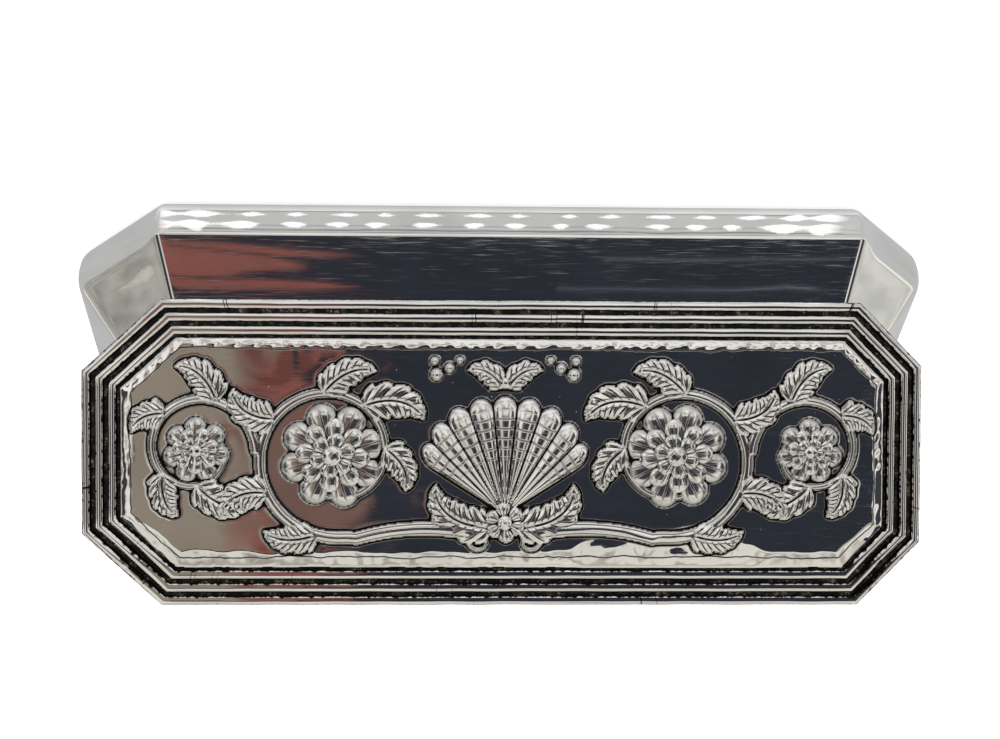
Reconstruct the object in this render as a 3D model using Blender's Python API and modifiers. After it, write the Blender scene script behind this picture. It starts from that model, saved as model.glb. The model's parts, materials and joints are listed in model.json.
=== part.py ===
"""A long eight-sided silver box with a hinged lid, which stands ajar.

The box stands on its base at z = 0, its length along X and its hinge at the back, towards +Y.
"Out" is how far a line stands outside the edge of the lid, seen from above, and is negative inside it.
"""

import math

import bmesh
import bpy
from mathutils import Matrix, Vector

# Clearance between neighbouring pieces, how far a cutter runs past what it cuts, and the shortest edge kept
GAP = 0.0003
OVERRUN = 0.002
WELD = 0.00002

# Outline of the lid, whose left corners are cut deeper than its right ones
LID_LENGTH = 0.130
LID_WIDTH = 0.0472
LEFT_CUT_LENGTH = 0.0122
LEFT_CUT_WIDTH = 0.01105
RIGHT_CUT_LENGTH = 0.00975
RIGHT_CUT_WIDTH = 0.0098

# Body wall: mouth, flare, bend, belly, rounded lower edge and the flange that holds the base
BODY_HEIGHT = 0.0196
WALL = 0.001
MOUTH_INSET = 0.005
BEND_OUT = 0.0036
BEND_HEIGHT = 0.0081
BEND_RADIUS = 0.002
BELLY_OUT = 0.00405
BELLY_HEIGHT = 0.0046
BELLY_RADIUS = 0.012
FOOT_OUT = 0.0039
FOOT_RADIUS = 0.0028
FLANGE_WIDTH = 0.0042
SEAM_RADIUS = 0.0012
INNER_SEAM_SHARE = 0.2
FLARE_EXTENSION_SHARE = 0.3
BASE_THICKNESS = 0.001

# Hinge: pin, knuckles and the two bearers that carry them
PIN_RADIUS = 0.0004
PIN_CLEARANCE = 0.00015
PIN_STAND_OFF = 0.0024
PIN_DROP = 0.0009
KNUCKLE_RADIUS = 0.0011
KNUCKLE_COUNT = 5
HINGE_LENGTH = 0.070
BODY_BEARER_HEIGHT = 0.0024
BODY_BEARER_PROUD = 0.0003
LID_BEARER_WIDTH = 0.0025
LID_BEARER_CROWN = 0.00035
LID_BEARER_FEET = 0.0009
REST_OPENING = math.radians(54)

# Lid: plate, three half-round wires, embossed panel and skirt
LID_THICKNESS = 0.0008
LID_EDGE_INSET = 0.00025
LID_CORNER_RADIUS = 0.0004
REED_WIDTH = 0.00145
REED_HEIGHT = 0.00075
REED_PITCH = 0.002
PANEL_CLEARANCE = 0.00035
PANEL_RISE = 0.0009
PANEL_EDGE_HEIGHT = 0.0002
PANEL_SHOULDER = 0.0016
SKIRT_CLEARANCE = 0.0007
SKIRT_THICKNESS = 0.0006
SKIRT_DROP = 0.0014

# Embossing of the panel. Places along it are shares of its half length, and all else shares of its half width.
# Angles are in degrees, anticlockwise from the right.
RELIEF_RISE = 0.0011
RELIEF_FOOT = 0.0003
# (across, rise) of a round stalk's section and of a leaf's, which has a sunk midrib
STALK_SECTION_SHARES = ((-1, 0), (-0.75, 0.66), (0, 1), (0.75, 0.66), (1, 0))
LEAF_SECTION_SHARES = ((-1, 0), (-0.6, 1), (0, 0.75), (0.6, 1), (1, 0))
# (radius, rise) of the rings of a flower, from its edge to its raised middle
FLOWER_SECTION_SHARES = ((1, 0), (0.97, 0.55), (0.84, 0.85), (0.34, 0.68), (0.22, 0.98), (0.08, 1.05))
SHELL_FOOT_SHARES = (0, -0.528)
SHELL_RADIUS_SHARE = 1.034
SHELL_HALF_ANGLE = 58
SHELL_FLUTES = 9
# (along, across, radius) of each flower, and its petals
ROSETTE_SHARES = (0, -0.596, 0.180)
ROSETTE_PETALS = 6
ROSETTE_RISE_SHARE = 1.3
LARGE_BLOSSOM_SHARES = (0.4476, -0.017, 0.461)
LARGE_PETALS = 8
SMALL_BLOSSOM_SHARES = (0.8007, 0.022, 0.292)
SMALL_PETALS = 7
# (outer radius, inner radius, half thickness) of each scroll, with its first angle and its turn
LARGE_SCROLL_SHARES = (0.730, 0.337, 0.067)
LARGE_SCROLL_TURN = (-106, 400)
SMALL_SCROLL_SHARES = (0.517, 0.202, 0.053)
SMALL_SCROLL_TURN = (180, -400)
# (along, across, length) of the stalk that leads to a large scroll, with its heading and bend
STALK_SHARES = (0.0845, -0.691, 1.011)
STALK_TURN = (12, -28)
# (along, across, length, half width) of the leaves beside and above the shell
CREST_LEAF_SHARES = (0.034, -0.640, 0.702, 0.169)
CREST_LEAF_TURN = (2, 100)
TOP_LEAF_SHARES = (0.007, 0.573, 0.371, 0.107)
TOP_LEAF_TURN = (60, -80)
# (angle on the scroll, heading, bend, length, half width) of each leaf, whose last two are shares
LARGE_SCROLL_LEAF_SHARES = (
    (-78, -20, 60, 0.472, 0.135),
    (-30, 10, -95, 0.483, 0.146),
    (32, 0, 92, 0.494, 0.146),
    (82, 128, 74, 0.528, 0.140),
    (122, 158, 88, 0.596, 0.163),
    (172, 214, 78, 0.449, 0.135),
)
SMALL_SCROLL_LEAF_SHARES = (
    (112, 72, -80, 0.506, 0.146),
    (50, 4, -84, 0.360, 0.129),
    (-36, -82, -70, 0.416, 0.129),
    (-92, -132, -74, 0.528, 0.146),
)

# Linings
PAD_THICKNESS = 0.0025
PAD_EDGE_RADIUS = 0.001
LINING_THICKNESS = 0.0008
LID_LINING_THICKNESS = 0.0012

# How finely round shapes are divided
SEAM_STEPS = 3
FILLET_STEPS = 5
REED_STEPS = 8
ROUND_STEPS = 24
LEAF_STEPS = 9
STALK_STEPS = 5
SCROLL_STEPS = 32
PETAL_STEPS = 4

# Places that follow from the sizes above, from the ground up
half_length = LID_LENGTH / 2
half_width = LID_WIDTH / 2
flange_out = FOOT_OUT - FLANGE_WIDTH
pad_bottom = max(BASE_THICKNESS, WALL) + GAP
pad_top = pad_bottom + PAD_THICKNESS
notch_bottom = BODY_HEIGHT - BODY_BEARER_HEIGHT - GAP
pin_out = PIN_STAND_OFF - MOUTH_INSET
pin_y = half_width + pin_out
pin_z = BODY_HEIGHT - PIN_DROP
groove_radius = KNUCKLE_RADIUS + GAP
lid_bottom = pin_z + groove_radius + LID_BEARER_CROWN + GAP
lid_top = lid_bottom + LID_THICKNESS
border_bottom = lid_top + GAP
panel_out = -(2 * REED_PITCH + REED_WIDTH + PANEL_CLEARANCE)
ground = border_bottom + PANEL_RISE
panel_half_length = half_length + panel_out
panel_half_width = half_width + panel_out

# sRGB colour, metallic and roughness of each finish
FINISHES = {
    "polished_silver": ((0.88, 0.88, 0.87), 1.0, 0.12),
    "worked_silver": ((0.80, 0.80, 0.79), 1.0, 0.25),
    "velvet": ((0.07, 0.10, 0.25), 0.0, 0.95),
    "silk": ((0.72, 0.70, 0.66), 0.0, 0.55),
}


def clear_scene():
    for item in list(bpy.data.objects):
        bpy.data.objects.remove(item, do_unlink=True)


def new_collection(name):
    group = bpy.data.collections.new(name)
    bpy.context.scene.collection.children.link(group)
    return group


def linear(value):
    return value / 12.92 if value <= 0.04045 else ((value + 0.055) / 1.055) ** 2.4


def finish(name):
    """The Principled material of one finish, made once."""
    known = bpy.data.materials.get(name)
    if known:
        return known
    colour, metallic, roughness = FINISHES[name]
    material = bpy.data.materials.new(name)
    material.use_nodes = True
    shader = material.node_tree.nodes["Principled BSDF"]
    shader.inputs["Base Color"].default_value = (*[linear(value) for value in colour], 1)
    shader.inputs["Metallic"].default_value = metallic
    shader.inputs["Roughness"].default_value = roughness
    return material


def add_object(name, mesh, group, finish_name=None):
    item = bpy.data.objects.new(name, mesh)
    group.objects.link(item)
    if finish_name:
        mesh.materials.append(finish(finish_name))
    mesh.shade_smooth()
    mesh.set_sharp_from_angle(angle=math.radians(25))
    return item


def lid_corners():
    """The eight corners of the lid's edge, anticlockwise from the front right."""
    left = half_length - LEFT_CUT_LENGTH
    right = half_length - RIGHT_CUT_LENGTH
    left_side = half_width - LEFT_CUT_WIDTH
    right_side = half_width - RIGHT_CUT_WIDTH
    front = [(right, -half_width), (half_length, -right_side)]
    back = [(half_length, right_side), (right, half_width)]
    far_back = [(-left, half_width), (-half_length, left_side)]
    far_front = [(-half_length, -left_side), (-left, -half_width)]
    return [Vector(point) for point in front + back + far_back + far_front]


def outline(out, seam):
    """The eight-sided outline moved outward, with its corners rounded where seam isn't zero."""
    corners = lid_corners()
    points = []
    for place, corner in enumerate(corners):
        before = (corner - corners[place - 1]).normalized()
        after = (corners[(place + 1) % len(corners)] - corner).normalized()
        first = Vector((before.y, -before.x))
        last = Vector((after.y, -after.x))
        mitre = (first + last) / (1 + first.dot(last))
        if not seam:
            points.append(corner + mitre * out)
            continue
        centre = corner + mitre * (out - seam)
        turn = first.angle_signed(last)
        for step in range(SEAM_STEPS + 1):
            spoke = first.copy()
            spoke.rotate(Matrix.Rotation(-turn * step / SEAM_STEPS, 2))
            points.append(centre + spoke * seam)
    return points


def swept(name, section, group, finish_name, capped=False):
    """Carry a section of (out, height, seam radius) points round the eight sides."""
    work = bmesh.new()
    order = work.verts.layers.int.new("order")
    out, height, seam = section[0]
    ring = []
    for place, (x, y) in enumerate(outline(out, seam)):
        vert = work.verts.new((x, y, height))
        vert[order] = place
        ring.append(vert)
    first = [work.edges.new(pair) for pair in zip(ring, ring[1:] + ring[:1])]
    edges = first
    for out, height, seam in section[1:]:
        grown = bmesh.ops.extrude_edge_only(work, edges=edges)["geom"]
        edges = [part for part in grown if isinstance(part, bmesh.types.BMEdge)]
        points = outline(out, seam)
        for vert in [part for part in grown if isinstance(part, bmesh.types.BMVert)]:
            x, y = points[vert[order]]
            vert.co = (x, y, height)
    if capped:
        bmesh.ops.edgeloop_fill(work, edges=first)
        bmesh.ops.edgeloop_fill(work, edges=edges)
    else:
        bmesh.ops.bridge_loops(work, edges=first + edges)
    bmesh.ops.recalc_face_normals(work, faces=work.faces)
    return add_object(name, to_mesh(name, work), group, finish_name)


def to_mesh(name, work):
    mesh = bpy.data.meshes.new(name)
    work.to_mesh(mesh)
    work.free()
    return mesh


def filleted(corners):
    """A path through (out, height, radius) corners, with an arc at each corner that has a radius."""
    places = [Vector(corner[:2]) for corner in corners]
    path = [places[0]]
    for place in range(1, len(corners) - 1):
        here = places[place]
        before = (here - places[place - 1]).normalized()
        after = (places[place + 1] - here).normalized()
        turn = before.angle_signed(after)
        radius = corners[place][2]
        start = here - before * radius * math.tan(abs(turn) / 2)
        side = Vector((before.y, -before.x)) * math.copysign(radius, turn)
        for step in range(FILLET_STEPS + 1):
            spoke = -side
            spoke.rotate(Matrix.Rotation(-turn * step / FILLET_STEPS, 2))
            path.append(start + side + spoke)
    path.append(places[-1])
    return path


def offset(path, depth):
    """The path moved towards the inside of the box, keeping its mitres."""
    normals = []
    for here, there in zip(path, path[1:]):
        along = (there - here).normalized()
        normals.append(Vector((along.y, -along.x)))
    pairs = zip([normals[0]] + normals, normals + [normals[-1]])
    mitres = [(first + last) / (1 + first.dot(last)) for first, last in pairs]
    return [point + mitre * depth for point, mitre in zip(path, mitres)]


def between(path, low, high):
    """The stretch of a falling path between two heights, cut where it crosses them."""
    kept = []
    for here, there in zip(path, path[1:]):
        fall = here.y - there.y
        if fall <= 0 or there.y >= high or here.y <= low:
            continue
        start = here.lerp(there, max(here.y - high, 0) / fall)
        end = here.lerp(there, min((here.y - low) / fall, 1))
        if not kept:
            kept.append(start)
        kept.append(end)
    return kept


def wall_path():
    """The outer face of the wall from above the mouth to the inner edge of the foot's flange."""
    mouth = Vector((-MOUTH_INSET, BODY_HEIGHT))
    bend = Vector((BEND_OUT, BEND_HEIGHT))
    above = mouth + (mouth - bend) * FLARE_EXTENSION_SHARE
    return filleted([
        (above.x, above.y, 0),
        (bend.x, bend.y, BEND_RADIUS),
        (BELLY_OUT, BELLY_HEIGHT, BELLY_RADIUS),
        (FOOT_OUT, 0, FOOT_RADIUS),
        (flange_out, 0, 0),
    ])


def with_seam(path, depth):
    """Section points whose corner rounding is concentric with that of the outer face."""
    seam = max(SEAM_RADIUS - depth, SEAM_RADIUS * INNER_SEAM_SHARE)
    return [(point.x, point.y, seam) for point in path]


def skin(outer_depth, thickness, low, high):
    """A closed section that follows the wall at a depth behind its outer face."""
    path = wall_path()
    outer = between(offset(path, outer_depth), low, high)
    inner = between(offset(path, outer_depth + thickness), low, high)
    return with_seam(outer, outer_depth) + with_seam(inner, outer_depth + thickness)[::-1]


def mouth_inner_out():
    return between(offset(wall_path(), WALL), 0, BODY_HEIGHT)[0].x


def block(outer, inner, bottom, top, seam=0):
    """A four-cornered section."""
    return [(outer, bottom, seam), (outer, top, seam), (inner, top, seam), (inner, bottom, seam)]


def make_body_shell(group, cutters):
    path = wall_path()
    outer = with_seam(between(path, 0, BODY_HEIGHT), 0) + [(flange_out, 0, SEAM_RADIUS * INNER_SEAM_SHARE)]
    inner_path = offset(path, WALL)
    inner = with_seam(between(inner_path, WALL, BODY_HEIGHT), WALL)
    inner += [(flange_out, WALL, SEAM_RADIUS * INNER_SEAM_SHARE)]
    shell = swept("body_shell", outer + inner[::-1], group, "polished_silver")
    low = Vector((-HINGE_LENGTH / 2 - GAP, 0, notch_bottom))
    high = Vector((HINGE_LENGTH / 2 + GAP, half_width + OVERRUN, BODY_HEIGHT + OVERRUN))
    subtract(shell, box_cutter("hinge_notch_cutter", low, high, cutters))


def make_base(group):
    edge = flange_out - GAP
    section = [(edge, 0, 0), (edge, BASE_THICKNESS, 0)]
    swept("base_plate", section, group, "polished_silver", capped=True)


def make_mouth_wire(group):
    section = block(-MOUTH_INSET, mouth_inner_out(), BODY_HEIGHT + GAP, lid_bottom - GAP, LID_CORNER_RADIUS)
    swept("mouth_wire", section, group, "polished_silver")


def make_linings(group):
    side = between(offset(wall_path(), WALL + GAP), pad_bottom, pad_top)[::-1]
    round_start = pad_top - PAD_EDGE_RADIUS
    lower = [point for point in side if point.y < round_start]
    top_out = side[-1].x
    section = with_seam(lower, WALL + GAP)
    for step in range(FILLET_STEPS + 1):
        angle = math.pi / 2 * step / FILLET_STEPS
        out = top_out - PAD_EDGE_RADIUS * (1 - math.cos(angle))
        height = round_start + PAD_EDGE_RADIUS * math.sin(angle)
        section.append((out, height, SEAM_RADIUS * INNER_SEAM_SHARE))
    swept("floor_pad", section, group, "velvet", capped=True)
    section = skin(WALL + GAP, LINING_THICKNESS, pad_top + GAP, notch_bottom - GAP)
    swept("wall_lining", section, group, "velvet")


def box_cutter(name, low, high, cutters):
    work = bmesh.new()
    bmesh.ops.create_cube(work, size=1)
    bmesh.ops.scale(work, vec=high - low, verts=work.verts)
    bmesh.ops.translate(work, vec=(high + low) / 2, verts=work.verts)
    return as_cutter(add_object(name, to_mesh(name, work), cutters))


def as_cutter(item):
    item.hide_render = True
    item.display_type = "WIRE"
    return item


def subtract(item, cutter):
    cut = item.modifiers.new("cut", "BOOLEAN")
    cut.operation = "DIFFERENCE"
    cut.solver = "EXACT"
    cut.object = cutter


def groove_cutter(name, cutters):
    """A rod along the hinge's axis that leaves room for the knuckles."""
    work = bmesh.new()
    length = HINGE_LENGTH + 2 * OVERRUN
    turn = Matrix.Rotation(math.pi / 2, 4, "Y")
    place = Matrix.Translation((0, pin_y, pin_z))
    bmesh.ops.create_cone(work, cap_ends=True, segments=ROUND_STEPS, radius1=groove_radius,
                          radius2=groove_radius, depth=length, matrix=place @ turn)
    return as_cutter(add_object(name, to_mesh(name, work), cutters))


def prism(name, section, group, finish_name):
    """A bar along the hinge with a section of (out, height) points."""
    work = bmesh.new()
    start = -HINGE_LENGTH / 2
    verts = [work.verts.new((start, half_width + out, height)) for out, height in section]
    face = work.faces.new(verts)
    grown = bmesh.ops.extrude_face_region(work, geom=[face])["geom"]
    ends = [part for part in grown if isinstance(part, bmesh.types.BMVert)]
    bmesh.ops.translate(work, vec=(HINGE_LENGTH, 0, 0), verts=ends)
    bmesh.ops.recalc_face_normals(work, faces=work.faces)
    return add_object(name, to_mesh(name, work), group, finish_name)


def make_body_bearer(group, cutters):
    """The strip that fills the notch in the back wall and stands a little proud of it."""
    low = notch_bottom + GAP
    path = wall_path()
    outer = between(offset(path, -BODY_BEARER_PROUD), low, BODY_HEIGHT)
    inner = between(offset(path, WALL), low, BODY_HEIGHT)
    section = [outer[0], outer[-1], inner[-1], inner[0]]
    bearer = prism("body_hinge_bearer", section, group, "worked_silver")
    subtract(bearer, groove_cutter("body_groove_cutter", cutters))


def make_lid_bearer(group, cutters, axis):
    """The strip under the lid's back edge, saddled over the knuckles."""
    half = LID_BEARER_WIDTH / 2
    low = pin_z + LID_BEARER_FEET
    high = lid_bottom - GAP
    section = [(pin_out - half, low), (pin_out + half, low), (pin_out + half, high), (pin_out - half, high)]
    bearer = prism("lid_hinge_bearer", section, group, "worked_silver")
    cutter = groove_cutter("lid_groove_cutter", cutters)
    subtract(bearer, cutter)
    ride_on_lid(bearer, axis)
    ride_on_lid(cutter, axis)


def turned(name, profile, middle, group):
    """Turn a profile of (radius, length) points about the hinge's axis."""
    work = bmesh.new()
    verts = [work.verts.new((radius, 0, along)) for radius, along in profile]
    for pair in zip(verts, verts[1:]):
        work.edges.new(pair)
    if profile[0][0]:
        work.edges.new((verts[-1], verts[0]))
    item = add_object(name, to_mesh(name, work), group, "worked_silver")
    screw = item.modifiers.new("turn", "SCREW")
    screw.steps = ROUND_STEPS
    screw.render_steps = ROUND_STEPS
    screw.use_merge_vertices = True
    screw.merge_threshold = GAP / 100
    item.rotation_euler = (0, math.pi / 2, 0)
    item.location = (middle, pin_y, pin_z)
    return item


def make_hinge(group, axis):
    """Five knuckles, taken in turn by the body and the lid, and the pin through them."""
    length = (HINGE_LENGTH - (KNUCKLE_COUNT - 1) * GAP) / KNUCKLE_COUNT
    bore = PIN_RADIUS + PIN_CLEARANCE
    end = length / 2
    profile = [(KNUCKLE_RADIUS, end), (KNUCKLE_RADIUS, -end), (bore, -end), (bore, end)]
    names = ["body_knuckle_left", "lid_knuckle_left", "body_knuckle_middle",
             "lid_knuckle_right", "body_knuckle_right"]
    for place, name in enumerate(names):
        middle = (place - (KNUCKLE_COUNT - 1) / 2) * (length + GAP)
        knuckle = turned(name, profile, middle, group)
        if name.startswith("lid"):
            ride_on_lid(knuckle, axis)
    half = HINGE_LENGTH / 2
    turned("hinge_pin", [(0, half), (PIN_RADIUS, half), (PIN_RADIUS, -half), (0, -half)], 0, group)


def ride_on_lid(item, axis):
    """Hang a piece that was modelled with the lid shut on the hinge's axis."""
    item.parent = axis
    item.matrix_parent_inverse = Matrix.Translation((0, -pin_y, -pin_z))


def reed_section(outer):
    """A half-round wire lying on the lid plate, its outer side at the given line."""
    half = REED_WIDTH / 2
    section = []
    for step in range(REED_STEPS + 1):
        angle = math.pi * step / REED_STEPS
        out = outer - half + half * math.cos(angle)
        section.append((out, border_bottom + REED_HEIGHT * math.sin(angle), 0))
    return section


def make_lid(group, cutters, axis):
    edge = -LID_EDGE_INSET
    plate = swept("lid_plate", [(edge, lid_bottom, 0), (edge, lid_top, 0)], group, "polished_silver",
                  capped=True)
    pieces = [plate]
    for place, name in enumerate(("outer_reed", "middle_reed", "inner_reed")):
        pieces.append(swept(name, reed_section(-place * REED_PITCH), group, "polished_silver"))
    pieces.append(make_panel(group, cutters, axis))
    outer = mouth_inner_out() - SKIRT_CLEARANCE
    inner = outer - SKIRT_THICKNESS
    section = block(outer, inner, lid_bottom - GAP - SKIRT_DROP, lid_bottom - GAP)
    pieces.append(swept("lid_skirt", section, group, "polished_silver"))
    high = lid_bottom - GAP
    section = [(inner - GAP, high - LID_LINING_THICKNESS, 0), (inner - GAP, high, 0)]
    pieces.append(swept("lid_lining", section, group, "silk", capped=True))
    for piece in pieces:
        ride_on_lid(piece, axis)


def make_panel(group, cutters, axis):
    """The raised panel, with a rounded shoulder between its edge and its embossed ground."""
    edge_top = border_bottom + PANEL_EDGE_HEIGHT
    section = [(panel_out, border_bottom, 0)]
    for step in range(FILLET_STEPS + 1):
        angle = math.pi / 2 * step / FILLET_STEPS
        out = panel_out - PANEL_SHOULDER * (1 - math.cos(angle))
        section.append((out, edge_top + (ground - edge_top) * math.sin(angle), 0))
    panel = swept("lid_panel", section, group, "polished_silver", capped=True)
    work = bmesh.new()
    emboss(work)
    forms = as_cutter(add_object("embossed_forms", to_mesh("embossed_forms", work), cutters))
    ride_on_lid(forms, axis)
    raised = panel.modifiers.new("emboss", "BOOLEAN")
    raised.operation = "UNION"
    raised.solver = "EXACT"
    raised.use_self = True
    raised.object = forms
    tidy = panel.modifiers.new("tidy", "WELD")
    tidy.merge_threshold = WELD
    return panel


def lofted(work, rings):
    """Join rings of points into one closed body."""
    loops = [[work.verts.new(point) for point in ring] for ring in rings]
    for here, there in zip(loops, loops[1:]):
        for place in range(len(here)):
            after = (place + 1) % len(here)
            work.faces.new((here[place], here[after], there[after], there[place]))
    work.faces.new(loops[0][::-1])
    work.faces.new(loops[-1])


def level(share, rise):
    """Height of a share of a form's rise, from its foot in the panel."""
    return ground - RELIEF_FOOT + (RELIEF_FOOT + rise) * share


def arc(start, turn, length, steps):
    """A spine that leaves a point at a heading and bends evenly. The turn is its heading and bend in degrees."""
    heading, bend = turn
    points = [Vector(start)]
    for step in range(steps):
        angle = math.radians(heading + bend * (step + 1) / steps)
        points.append(points[-1] + Vector((math.cos(angle), math.sin(angle))) * length / steps)
    return points


def ridge(work, spine, halves, rises, section):
    """A raised form along a spine, with a half width and a rise at each of its points."""
    rings = []
    for place, (point, half, rise) in enumerate(zip(spine, halves, rises)):
        along = spine[min(place + 1, len(spine) - 1)] - spine[max(place - 1, 0)]
        side = Vector((along.y, -along.x)).normalized() * half
        rings.append([(*(point + side * across), level(share, rise)) for across, share in section])
    lofted(work, rings)


def leaf(work, start, turn, length, width, side):
    """A leaf with lobes, which swells from its foot and narrows to its tip."""
    spine = arc(start, turn, length, LEAF_STEPS)
    halves = []
    for step in range(LEAF_STEPS + 1):
        share = step / LEAF_STEPS
        swell = math.sin(math.pi * min(max(share, 0.06), 0.97) ** 0.72) ** 0.75
        lobe = 1 if step % 3 else 0.78
        halves.append(width * swell * lobe)
    rises = [RELIEF_RISE * (0.75 + 0.25 * step / LEAF_STEPS) for step in range(LEAF_STEPS + 1)]
    ridge(work, mirrored(spine, side), halves, rises, LEAF_SECTION_SHARES)


def mirrored(spine, side):
    return [Vector((point.x * side, point.y)) for point in spine]


def flower(work, shares, petals, side, rise=RELIEF_RISE):
    """A domed flower with a lobed edge and a raised middle."""
    centre = Vector((panel_half_length * shares[0] * side, panel_half_width * shares[1]))
    count = petals * PETAL_STEPS
    rings = []
    for reach, share in FLOWER_SECTION_SHARES:
        ring = []
        for step in range(count):
            angle = 2 * math.pi * step / count
            lobe = 1 - 0.16 * reach * (1 - abs(math.sin(petals * angle / 2)))
            out = Vector((math.cos(angle), math.sin(angle))) * panel_half_width * shares[2] * reach * lobe
            ring.append((*(centre + out), level(share, rise)))
        rings.append(ring)
    lofted(work, rings)


def shell(work):
    """A fan of rounded flutes that widen from its foot."""
    foot = Vector((panel_half_length * SHELL_FOOT_SHARES[0], panel_half_width * SHELL_FOOT_SHARES[1]))
    spread = math.radians(SHELL_HALF_ANGLE) * 2 / SHELL_FLUTES
    radius = panel_half_width * SHELL_RADIUS_SHARE
    for flute in range(SHELL_FLUTES):
        angle = spread * (flute - (SHELL_FLUTES - 1) / 2)
        away = Vector((math.sin(angle), math.cos(angle))) * radius * (1 - 0.1 * angle ** 2)
        spine, halves, rises = [], [], []
        for share in (0.1, 0.4, 0.7, 0.9, 0.97, 1):
            spine.append(foot + away * share)
            halves.append(radius * math.tan(spread * 0.53) * share * (1 - max(share - 0.85, 0) * 3))
            rises.append(RELIEF_RISE * (1.1 - 0.3 * abs(share - 0.6) - max(share - 0.9, 0) * 4))
        ridge(work, spine, halves, rises, STALK_SECTION_SHARES)


def scroll(work, lead, blossom, shares, turn, leaves, side):
    """A stalk that may come from elsewhere and winds in under its blossom, with the leaves that spring from it."""
    centre = Vector((panel_half_length * blossom[0], panel_half_width * blossom[1]))

    def reach(angle):
        share = (angle - turn[0]) / turn[1]
        return panel_half_width * (shares[0] + (shares[1] - shares[0]) * share)

    def spot(angle):
        away = Vector((math.cos(math.radians(angle)), math.sin(math.radians(angle))))
        return centre + away * reach(angle)

    angles = [turn[0] + turn[1] * step / SCROLL_STEPS for step in range(SCROLL_STEPS + 1)]
    spine = lead + [spot(angle) for angle in angles]
    slim = [1 - 0.5 * step / len(spine) for step in range(len(spine))]
    halves = [panel_half_width * shares[2] * share for share in slim]
    rises = [RELIEF_RISE * 0.85 * share for share in slim]
    ridge(work, mirrored(spine, side), halves, rises, STALK_SECTION_SHARES)
    for angle, heading, bend, length, half in leaves:
        leaf(work, spot(angle), (heading, bend), panel_half_width * length, panel_half_width * half, side)


def emboss(work):
    """The shell, flowers, scrolls and leaves, alike on the left and the right of the panel."""
    shell(work)
    flower(work, ROSETTE_SHARES, ROSETTE_PETALS, 1, RELIEF_RISE * ROSETTE_RISE_SHARE)
    for side in (1, -1):
        for shares, turn in ((CREST_LEAF_SHARES, CREST_LEAF_TURN), (TOP_LEAF_SHARES, TOP_LEAF_TURN)):
            start = (panel_half_length * shares[0], panel_half_width * shares[1])
            leaf(work, start, turn, panel_half_width * shares[2], panel_half_width * shares[3], side)
        start = (panel_half_length * STALK_SHARES[0], panel_half_width * STALK_SHARES[1])
        lead = arc(start, STALK_TURN, panel_half_width * STALK_SHARES[2], STALK_STEPS)[:-1]
        scroll(work, lead, LARGE_BLOSSOM_SHARES, LARGE_SCROLL_SHARES, LARGE_SCROLL_TURN,
               LARGE_SCROLL_LEAF_SHARES, side)
        scroll(work, [], SMALL_BLOSSOM_SHARES, SMALL_SCROLL_SHARES, SMALL_SCROLL_TURN,
               SMALL_SCROLL_LEAF_SHARES, side)
        flower(work, LARGE_BLOSSOM_SHARES, LARGE_PETALS, side)
        flower(work, SMALL_BLOSSOM_SHARES, SMALL_PETALS, side)
    bmesh.ops.recalc_face_normals(work, faces=work.faces)


def main():
    clear_scene()
    parts = new_collection("silver_box")
    cutters = new_collection("cutters")
    axis = bpy.data.objects.new("lid_axis", None)
    axis.location = (0, pin_y, pin_z)
    axis.rotation_euler = (-REST_OPENING, 0, 0)
    parts.objects.link(axis)
    make_body_shell(parts, cutters)
    make_base(parts)
    make_mouth_wire(parts)
    make_linings(parts)
    make_body_bearer(parts, cutters)
    make_hinge(parts, axis)
    make_lid_bearer(parts, cutters, axis)
    make_lid(parts, cutters, axis)


main()
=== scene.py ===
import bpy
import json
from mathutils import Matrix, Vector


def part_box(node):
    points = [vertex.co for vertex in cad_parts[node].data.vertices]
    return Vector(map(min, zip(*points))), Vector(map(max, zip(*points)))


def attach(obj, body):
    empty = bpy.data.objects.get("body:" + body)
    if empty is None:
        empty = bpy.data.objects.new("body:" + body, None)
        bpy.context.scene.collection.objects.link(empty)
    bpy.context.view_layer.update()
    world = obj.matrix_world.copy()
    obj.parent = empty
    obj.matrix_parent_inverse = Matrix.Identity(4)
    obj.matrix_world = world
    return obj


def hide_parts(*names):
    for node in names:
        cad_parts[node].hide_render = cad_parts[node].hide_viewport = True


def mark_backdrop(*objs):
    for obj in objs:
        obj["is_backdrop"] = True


bl_info = {
    "name": "Eight-sided silver box",
    "version": (1, 0, 0),
    "blender": (4, 5, 0),
    "location": "3D View > Sidebar > Silver Box",
    "description": "Raises, borders, embosses and lines a long eight-sided silver box round its packed frame",
    "category": "Object",
}

import json
import math
from functools import partial

import bmesh
import bpy
import numpy as np
from bpy.props import FloatProperty, FloatVectorProperty, IntProperty, PointerProperty
from mathutils import Matrix, Vector, noise

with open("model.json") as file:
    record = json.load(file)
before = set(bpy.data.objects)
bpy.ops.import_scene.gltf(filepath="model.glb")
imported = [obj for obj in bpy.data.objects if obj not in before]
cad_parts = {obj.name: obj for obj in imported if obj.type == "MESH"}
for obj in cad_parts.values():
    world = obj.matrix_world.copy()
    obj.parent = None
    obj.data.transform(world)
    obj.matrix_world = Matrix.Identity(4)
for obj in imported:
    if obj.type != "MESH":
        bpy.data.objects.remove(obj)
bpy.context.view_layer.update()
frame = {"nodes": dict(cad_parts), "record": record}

# Outline of the lid, in metres, whose left corners are cut deeper than its right ones
LID_LENGTH = 0.130
LID_WIDTH = 0.0472
LEFT_CUT = (0.0122, 0.01105)
RIGHT_CUT = (0.00975, 0.0098)

# Wall of the body: (out, height, rounding) of its bend, belly and foot, and its mouth
MOUTH_OUT = -0.005
MOUTH_HEIGHT = 0.0196
BEND = (0.004, 0.00757, 0.0009)
BELLY = (0.0042, 0.0046, 0.012)
FOOT = (0.0039, 0.0, 0.0034)
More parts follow.
